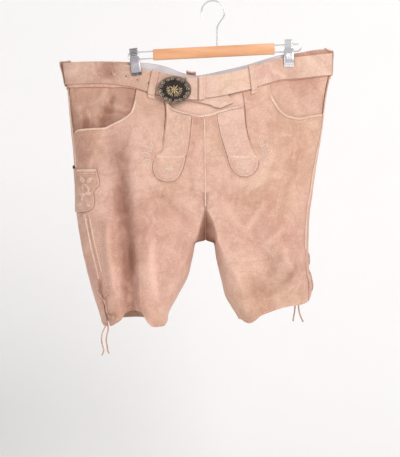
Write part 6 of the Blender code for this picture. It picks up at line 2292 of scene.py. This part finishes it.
class MakeEmbroidery(Maker):
    """Leaves and scrolls worked on the fall, the knife pocket and the thigh."""
    bl_idname = "lederhosen.embroidery"
    bl_label = "Embroidery"

    def make(self):
        fall = []
        for foot, lean in (((-80.0, -316.0), 83.5), ((53.0, -316.0), 102.0)):
            fall += turned(vine(62.0, 4.0, 6, 13.0), foot, lean)
        for centre, angle in (((-90.0, -353.0), 88.0), ((64.0, -350.0), 95.0)):
            fall += turned(spray(5, 14.0), centre, angle)
        self.work("fall", fall, TIP_OVER + 0.2, 0.7, "pale_thread", lift=over_flap)
        sprays = []
        for centre, angle, length in BESIDE_TIPS:
            sprays += turned(satin_leaf(length, 0.42 * length), centre, angle)
        self.work("sprays", sprays, 0.3, 0.75, "pale_thread")
        pocket = turned(scrollwork(), (-263.5, -414.0), -3.0, 0.95)
        self.work("knife_pocket", pocket, KNIFE_OVER, 0.95, "edge_suede", sides=8)
        band = ripples((-238.0, -446.0), (-216.0, -588.0), 40, 11.0)
        self.work("thigh", band, 0.2, 0.6, "edge_suede")
        fan = []
        for i in range(6):
            fan += turned([[(3.0, 0.0), (9.0, 0.6), (15.0, 0.0)]], (-259.0, -443.0),
                          -150.0 + 24.0 * i)
        self.work("fan", fan, 0.3, 0.7, "edge_suede")

    def work(self, name, drawn, height, radius, thread, sides=6, lift=None):
        """Lays a drawing (x, z) on the leather as raised thread."""
        cords(f"embroidery_{name}", [laid(line, height, lift) for line in drawn], radius, thread,
              sides=sides)


# ---------------------------------------------------------------- buckle

def buckle_frame():
    """Turns the buckle's flat drawing (x, out, y) into place."""
    return (Matrix.Translation(Vector(BUCKLE_CENTRE) * MM)
            @ Matrix.Rotation(radians(BUCKLE_TURN), 4, "Z")
            @ Matrix.Rotation(radians(BUCKLE_ROLL), 4, "Y"))


def on_buckle(x, out, y):
    """A point of the buckle from its drawing: right, out of the plate, up."""
    return (buckle_frame() @ (Vector((x, -out, y)) * MM)) / MM


def on_oval(share, angle, out):
    return on_buckle(0.5 * BUCKLE_SIZE[0] * share * cos(angle), out,
                     0.5 * BUCKLE_SIZE[1] * share * sin(angle))


def oval_solid(name, profile, material_name, nodes, closed=False):
    """A turned shape squeezed to the buckle's oval; profile is (radius share, height out)."""
    segments = 96
    if closed:
        points = [on_oval(share, 2.0 * pi * i / segments, out)
                  for share, out in profile for i in range(segments)]
        faces = []
        rings = len(profile)
        for k in range(rings):
            for i in range(segments):
                a, b = k * segments + i, k * segments + (i + 1) % segments
                c = (k + 1) % rings * segments
                faces.append((a, b, c + (i + 1) % segments, c + i))
    else:
        half = 0.5 * BUCKLE_SIZE[0]
        squeeze = BUCKLE_SIZE[1] / BUCKLE_SIZE[0]
        points, faces = lathe([(half * share, out) for share, out in profile], segments, squeeze)
        points = [on_buckle(x, z, y) for x, y, z in points]
    return mesh_piece(name, points, faces, material_name, nodes)


def petal(angle, root, length, width, low, high):
    """One raised petal in the buckle's plane, as points and faces."""
    points, faces = [], []
    steps, across = 8, 6
    for i in range(steps + 1):
        share = i / steps
        half = 0.5 * width * sin(pi * (0.08 + 0.9 * share)) ** 0.8
        for j in range(across + 1):
            side = 2.0 * j / across - 1.0
            x = root + length * share
            y = side * half
            out = low + (high - low) * (1.0 - side * side) * sin(pi * (0.12 + 0.8 * share))
            points.append(on_buckle(cos(angle) * x - sin(angle) * y, out,
                                    sin(angle) * x + cos(angle) * y))
    count = across + 1
    for i in range(steps):
        for j in range(across):
            a = i * count + j
            faces.append((a, a + 1, a + count + 1, a + count))
    floor = len(points)
    rim = ([j for j in range(count)] + [i * count + across for i in range(1, steps + 1)]
           + [steps * count + j for j in range(across - 1, -1, -1)]
           + [i * count for i in range(steps - 1, 0, -1)])
    for k in rim:
        points.append(points[k] + (on_buckle(0.0, low - 0.8, 0.0) - on_buckle(0.0, low, 0.0)))
    for k in range(len(rim)):
        n = (k + 1) % len(rim)
        faces.append((rim[k], rim[n], floor + n, floor + k))
    faces.append(tuple(reversed(range(floor, floor + len(rim)))))
    return points, faces


def merged(shapes):
    points, faces = [], []
    for part_points, part_faces in shapes:
        start = len(points)
        points += part_points
        faces += [tuple(i + start for i in face) for face in part_faces]
    return points, faces


def bead(x, out, y, radius):
    profile = [(radius * sin(pi * i / 6.0), radius * cos(pi * i / 6.0)) for i in range(7)]
    points, faces = lathe(profile, 10)
    return [on_buckle(x + p.x, out + p.z, y + p.y) for p in points], faces


class MakeBuckle(Maker):
    """The oval buckle: enamel plate, roped rim, scrolls, a flower with leaves, bar and peg."""
    bl_idname = "lederhosen.buckle"
    bl_label = "Buckle"

    def make(self):
        oval_solid("buckle_plate", ((0.0, 0.0), (0.88, 0.0), (0.885, 2.2), (0.87, 2.6), (0.6, 2.95),
                                    (0.3, 3.1), (0.0, 3.15)), "black_enamel", ("buckle_plate",))
        oval_solid("buckle_rim", ((0.893, 0.2), (0.893, 3.1), (0.905, 3.5), (0.93, 3.7),
                                  (0.97, 3.2), (0.99, 2.2), (0.99, 0.8), (0.975, 0.1)),
                   "rim_bronze", ("buckle_rim",), closed=True)
        self.rope()
        self.scrolls()
        self.flower()
        self.back()

    def rope(self):
        strands = []
        for phase in (0.0, pi):
            strand = []
            for i in range(900):
                angle = 2.0 * pi * i / 900
                twist = 46.0 * angle + phase
                strand.append(on_oval(0.962 + 0.014 * cos(twist), angle, 3.35 + 0.5 * sin(twist)))
            strands.append(strand)
        cords("buckle_rope", strands, 0.5, "rim_bronze", sides=6, closed=True)

    def scrolls(self):
        count = settings("buckle").scrolls
        half = 0.25 * (BUCKLE_SIZE[0] + BUCKLE_SIZE[1])
        lines, beads = [], []
        for i in range(count):
            middle = 2.0 * pi * (i + 0.5) / count
            for hand in (-1.0, 1.0):
                line = []
                for k in range(40):
                    share = k / 39.0
                    turn = (1.25 - 3.1 * share) * pi
                    reach = 3.7 * (1.0 - 0.72 * share)
                    angle = middle + hand * (5.0 + reach * cos(turn)) / (0.8 * half)
                    line.append(on_oval(0.79 + reach * sin(turn) / half, angle, 3.3 + 1.1 * share))
                lines.append(line)
            for turn in (middle, middle + pi / count):
                beads.append(bead(0.5 * 0.85 * BUCKLE_SIZE[0] * cos(turn), 3.3,
                                  0.5 * 0.85 * BUCKLE_SIZE[1] * sin(turn), 0.9))
        cords("buckle_scrolls", lines, 0.5, "old_silver", ("buckle_scrolls",), sides=8)
        mesh_piece("buckle_beads", *merged(beads), "old_silver")

    def flower(self):
        count = settings("buckle").petals
        shapes = []
        for i in range(count):
            angle = 2.0 * pi * i / count + 0.2
            shapes.append(petal(angle, 1.8, 9.6 if i % 2 else 7.6, 3.4, 3.3, 5.2))
        for hand in (-1.0, 1.0):
            for k in range(7):
                share = k / 6.0
                turn = radians(-80.0 + 96.0 * share)
                place = hand * 13.4 * cos(turn), 11.4 * sin(turn)
                away = hypot(*place)
                facing = atan2(place[1], place[0])
                shapes.append(petal(facing + hand * 0.02, away - 0.4, 4.6, 2.0, 3.3, 4.5))
                shapes.append(petal(facing + hand * 0.22, away - 3.6, 3.4, 1.7, 3.3, 4.4))
        shapes += [bead(2.2 * cos(2.0 * pi * i / 6), 5.0, 2.2 * sin(2.0 * pi * i / 6), 1.1)
                   for i in range(6)]
        shapes.append(bead(0.0, 5.3, 0.0, 1.2))
        mesh_piece("buckle_flower", *merged(shapes), "old_gold", ("buckle_flower",))
        turns = [radians(-84.0 + 3.4 * k) for k in range(32)]
        twigs = [[on_buckle(hand * 13.0 * cos(turn), 3.9, 11.0 * sin(turn)) for turn in turns]
                 for hand in (-1.0, 1.0)]
        cords("buckle_twigs", twigs, 0.45, "old_gold", sides=6)

    def back(self):
        edge = TOP["front"](BAR_X)
        height = STRAP_OVER + STRAP + BAR + 0.4
        top, middle, bottom = [face_point(BAR_X, edge - below, height)
                               for below in (-1.4, 0.5 * STRAP_WIDTH, STRAP_WIDTH + 1.4)]
        upper, lower = on_buckle(14.0, -1.2, 21.0), on_buckle(14.0, -1.2, -18.0)
        past_fold = Vector((-8.0, -1.0, 0.6))
        route = [upper, top + past_fold, top, middle, bottom,
                 bottom + Vector((past_fold.x, past_fold.y, -past_fold.z)), lower]
        cords("buckle_bar", [route], BAR, "old_gold", ("buckle_bar",))
        root = on_buckle(-22.0, -0.8, 2.0)
        tip = face_point(root.x, root.z, STRAP_LOW + STRAP + 0.9)
        cords("buckle_hook", [[root, tip]], 1.6, "old_gold", ("buckle_hook",))


# ---------------------------------------------------------------- hanger

def on_bar(along, out, up):
    frame_of_bar = (Matrix.Translation(Vector(BAR_CENTRE) * MM)
                    @ Matrix.Rotation(radians(-BAR_TILT), 4, "Y"))
    return (frame_of_bar @ (Vector((along, out, up)) * MM)) / MM


class MakeHanger(Maker):
    """The wooden bar, its hook and its two wire bows."""
    bl_idname = "lederhosen.hanger"
    bl_label = "Hanger"

    def make(self):
        self.bar()
        circle_z = HOOK_WIRE - HOOK_RADIUS
        stem_x = 8.3
        foot = on_bar(stem_x - BAR_CENTRE[0], 0.0, 0.5 * BAR_HEIGHT).z + LAY_GAP + 0.2
        route = rounded_route([(stem_x, 0.0, foot), (stem_x, 0.0, mix(foot, -53.0, 0.5)),
                               (stem_x + 0.2, 0.0, -56.0), (11.5, 0.0, -48.0),
                               (16.5, 0.0, -40.0)], 6)
        for angle in range(-30, 211, 4):
            turn = radians(angle)
            route.append(Vector((HOOK_RADIUS * cos(turn), 0.0, circle_z + HOOK_RADIUS * sin(turn))))
        cords("hanger_hook", [route], HOOK_WIRE, "chrome", ("hanger_hook",), sides=16)
        for side, sign, reach in (("right", -1.0, 178.0), ("left", 1.0, 181.0)):
            start = 0.5 * BAR_LENGTH - 4.0
            bow = [(start, 7.3), (reach - 40.0, 7.3), (reach - 7.3, 7.3)]
            for angle in range(75, -76, -15):
                swing = radians(angle)
                bow.append((reach - 7.3 + 7.3 * cos(swing), 7.3 * sin(swing)))
            bow += [(reach - 7.3, -7.3), (reach - 40.0, -7.3), (start, -7.3)]
            name = f"hanger_wire_{side}"
            cords(name, [[on_bar(sign * along, 0.0, up) for along, up in bow]], WIRE, "chrome",
                  (name,), sides=12)

    def bar(self):
        shape = bmesh.new()
        bmesh.ops.create_cube(shape, size=1.0)
        bmesh.ops.scale(shape, vec=(BAR_LENGTH, BAR_DEPTH, BAR_HEIGHT), verts=shape.verts)
        bmesh.ops.bevel(shape, geom=shape.edges, offset=1.8, segments=4, profile=0.5,
                        affect="EDGES")
        points = [on_bar(*vertex.co) for vertex in shape.verts]
        faces = [tuple(vertex.index for vertex in face.verts) for face in shape.faces]
        shape.free()
        mesh_piece("hanger_bar", points, faces, "hanger_wood", ("hanger_bar",), sharp=40.0)


HANDLE_WIDTH = CLIP_WIDTH - 3.4
# Clips: foot of the jaws and lean
CLIPS = {"right": ((-158.0, -153.3), 8.0), "left": ((158.0, -135.5), 0.5)}
JAW_PROFILE = ((0.0, 7.0), (2.5, 7.2), (6.0, 9.4), (16.0, 10.0), (26.0, 8.6), (36.0, 4.6),
               (39.0, 3.0), (41.0, 2.6), (43.0, 1.85), (45.0, 2.5), (47.0, 1.85), (49.0, 2.7),
               (50.5, 2.6), (52.0, 4.0), (53.5, 3.9), (56.0, 6.0))


def in_clip(side, across, depth, up):
    (foot_x, foot_z), lean = CLIPS[side]
    turn = Matrix.Rotation(radians(-lean), 4, "Y")
    return Vector((foot_x, 0.0, foot_z)) + turn @ Vector((across, depth, up))


class MakeClips(Maker):
    """The two spring clips with ribbed handles and grips, alike on the real hanger: the wearer's
    right one painted in shade with darker steel, dark ribs and dark grips, the left one painted lit
    with chrome and pale grips.
    """
    bl_idname = "lederhosen.clips"
    bl_label = "Clips"

    def make(self):
        for side in CLIPS:
            for face, sign in FACE_WARD.items():
                self.jaw(side, face, sign)
                self.grip(side, face, sign)

    def jaw(self, side, face, sign):
        grid = []
        for up, out in finer_profile(JAW_PROFILE, 3):
            half = 0.5 * mix(CLIP_WIDTH, HANDLE_WIDTH, ease((up - 34.0) / 4.0))
            grid.append([tuple(in_clip(side, share * half, sign * depth, up)
                               for depth in (out + CLIP_SHEET, out))
                         for share in finer((-1.0, 1.0), 6)])
        name = f"clip_{side}_{face}"
        # painted shade on the wearer's right clip, painted light on the left
        steel = "clip_steel" if side == "right" else "chrome"
        wall(name, [grid], steel, (name,), bulge=0.3)
        ribs = []
        for i in range(5):
            up = 41.5 + 3.1 * i
            out = profile_height(JAW_PROFILE, up) + CLIP_SHEET + 0.2
            half = 0.5 * HANDLE_WIDTH - 1.2
            ribs.append([in_clip(side, across, sign * out, up)
                         for across in finer((-half, half), 6)])
        cords(f"clip_ribs_{side}_{face}", ribs, 0.75,
              "grip_rubber" if side == "right" else "chrome", sides=8)
        grooves = []
        for across in (-4.2, -2.1, 0.0, 2.1, 4.2):
            run = [(up, profile_height(JAW_PROFILE, up) + CLIP_SHEET + 0.1)
                   for up in finer((9.0, 20.0, 31.0), 4)]
            grooves.append([in_clip(side, across, sign * out, up) for up, out in run])
        cords(f"clip_grooves_{side}_{face}", grooves, 0.45, steel, sides=8)

    def grip(self, side, face, sign):
        grid = []
        for up, out in ((5.0, 8.9), (2.5, 7.3), (0.0, 7.0), (-0.7, 6.9)):
            half = 0.5 * CLIP_WIDTH + 0.3
            grid.append([tuple(in_clip(side, share * half, sign * depth, up)
                               for depth in (out + CLIP_SHEET + 0.45, out - 0.45))
                         for share in (-1.0, 0.0, 1.0)])
        # dark grips paint shade on the wearer's right clip, pale grips paint light on the left
        rubber = "grip_rubber" if side == "right" else "pale_rubber"
        wall(f"clip_grip_{side}_{face}", [smooth_grid(grid, 3, 2)], rubber, bulge=0.3)


def finer_profile(profile, steps):
    route = rounded_route([(*spot, 0.0) for spot in profile], steps)
    return [(point.x, point.y) for point in route]


def profile_height(profile, up):
    for (low, out_low), (high, out_high) in zip(profile, profile[1:]):
        if low <= up <= high:
            return mix(out_low, out_high, (up - low) / (high - low))
    return profile[-1][1]


# ---------------------------------------------------------------- stage

# The camera's sensor in millimetres, and the rest in metres
SENSOR = 36.0
VIEW_X = -0.027
VIEW_Z = -0.472
FLOOR_Z = -1.05
FLOOR_BEND = 0.6


class MakeStage(Maker):
    """A pale backdrop, soft light and the camera."""
    bl_idname = "lederhosen.stage"
    bl_label = "Stage"

    def make(self):
        self.backdrop()
        stage = settings("stage")
        camera = bpy.data.cameras.new("camera")
        camera.sensor_fit = "HORIZONTAL"
        camera.sensor_width = SENSOR
        camera.lens = SENSOR * stage.distance / stage.width
        camera.clip_end = 50.0
        viewpoint = bpy.data.objects.new("camera", camera)
        viewpoint.location = (VIEW_X, -stage.distance, VIEW_Z)
        viewpoint.rotation_euler = (radians(90.0), 0.0, 0.0)
        bpy.context.scene.collection.objects.link(viewpoint)
        bpy.context.scene.camera = viewpoint
        bpy.context.scene.view_settings.view_transform = "Standard"
        self.lamp("key", (1.5, -2.6, 1.1), (0.0, 0.0, -0.4), 1.6, 60.0, (1.0, 0.985, 0.965))
        self.lamp("fill", (-2.2, -2.4, -0.3), (0.0, 0.0, -0.45), 2.2, 9.0, (0.97, 0.98, 1.0))
        world = bpy.data.worlds.new("daylight")
        world.use_nodes = True
        background = world.node_tree.nodes["Background"]
        background.inputs["Color"].default_value = (0.99, 0.99, 1.0, 1.0)
        background.inputs["Strength"].default_value = 0.64
        bpy.context.scene.world = world

    def backdrop(self):
        profile = [(-4.0, FLOOR_Z), (FLOOR_BEND, FLOOR_Z)]
        for i in range(1, 12):
            angle = radians(90.0 * i / 12.0)
            profile.append((FLOOR_BEND + FLOOR_BEND * sin(angle),
                            FLOOR_Z + FLOOR_BEND * (1.0 - cos(angle))))
        profile += [(2.0 * FLOOR_BEND, FLOOR_Z + FLOOR_BEND), (2.0 * FLOOR_BEND, 3.0)]
        points = [(x, y, z) for y, z in profile for x in (-5.0, 5.0)]
        faces = [(2 * i, 2 * i + 1, 2 * i + 3, 2 * i + 2) for i in range(len(profile) - 1)]
        mesh = bpy.data.meshes.new("backdrop")
        mesh.from_pydata(points, [], faces)
        mesh.shade_smooth()
        mesh.materials.append(finish("backdrop_paint"))
        item = bpy.data.objects.new("backdrop", mesh)
        bpy.context.scene.collection.objects.link(item)

    def lamp(self, name, place, aim, size, power, colour):
        light = bpy.data.lights.new(name, "AREA")
        light.energy = power
        light.size = size
        light.color = colour
        item = bpy.data.objects.new(name, light)
        item.location = place
        item.rotation_euler = (Vector(aim) - Vector(place)).to_track_quat("-Z", "Y").to_euler()
        bpy.context.scene.collection.objects.link(item)


# ---------------------------------------------------------------- panel and registration

class LederhosenPanel(Panel):
    """Lists the pieces and their settings."""
    bl_idname = "VIEW3D_PT_lederhosen"
    bl_label = "Lederhosen"
    bl_space_type = "VIEW_3D"
    bl_region_type = "UI"
    bl_category = "Lederhosen"

    def draw(self, context):
        for maker in MAKERS:
            self.layout.operator(maker.bl_idname)
        for name, group in GROUPS.items():
            box = self.layout.box()
            box.label(text=name.capitalize())
            for label in group.__annotations__:
                box.prop(getattr(context.scene, f"lederhosen_{name}"), label)


MAKERS = (MakeStage, MakeLaces, MakeLegs, MakeWaistband, MakeBelt, MakeLoops, MakePockets, MakeFall,
          MakeSideTrim, MakeStitching, MakeEmbroidery, MakeBuckle, MakeHanger, MakeClips)
GROUPS = {
    "suede": LederhosenSuede,
    "stitching": LederhosenStitching,
    "buckle": LederhosenBuckle,
    "stage": LederhosenStage,
}


def register():
    for name, group in GROUPS.items():
        bpy.utils.register_class(group)
        setattr(bpy.types.Scene, f"lederhosen_{name}", PointerProperty(type=group))
    for item in (*MAKERS, LederhosenPanel):
        bpy.utils.register_class(item)


def unregister():
    for item in reversed((*MAKERS, LederhosenPanel)):
        bpy.utils.unregister_class(item)
    for name, group in reversed(GROUPS.items()):
        delattr(bpy.types.Scene, f"lederhosen_{name}")
        bpy.utils.unregister_class(group)


def main():
    register()
    for maker in MAKERS:
        group, name = maker.bl_idname.split(".")
        getattr(getattr(bpy.ops, group), name)()


if __name__ == "__main__":
    main()
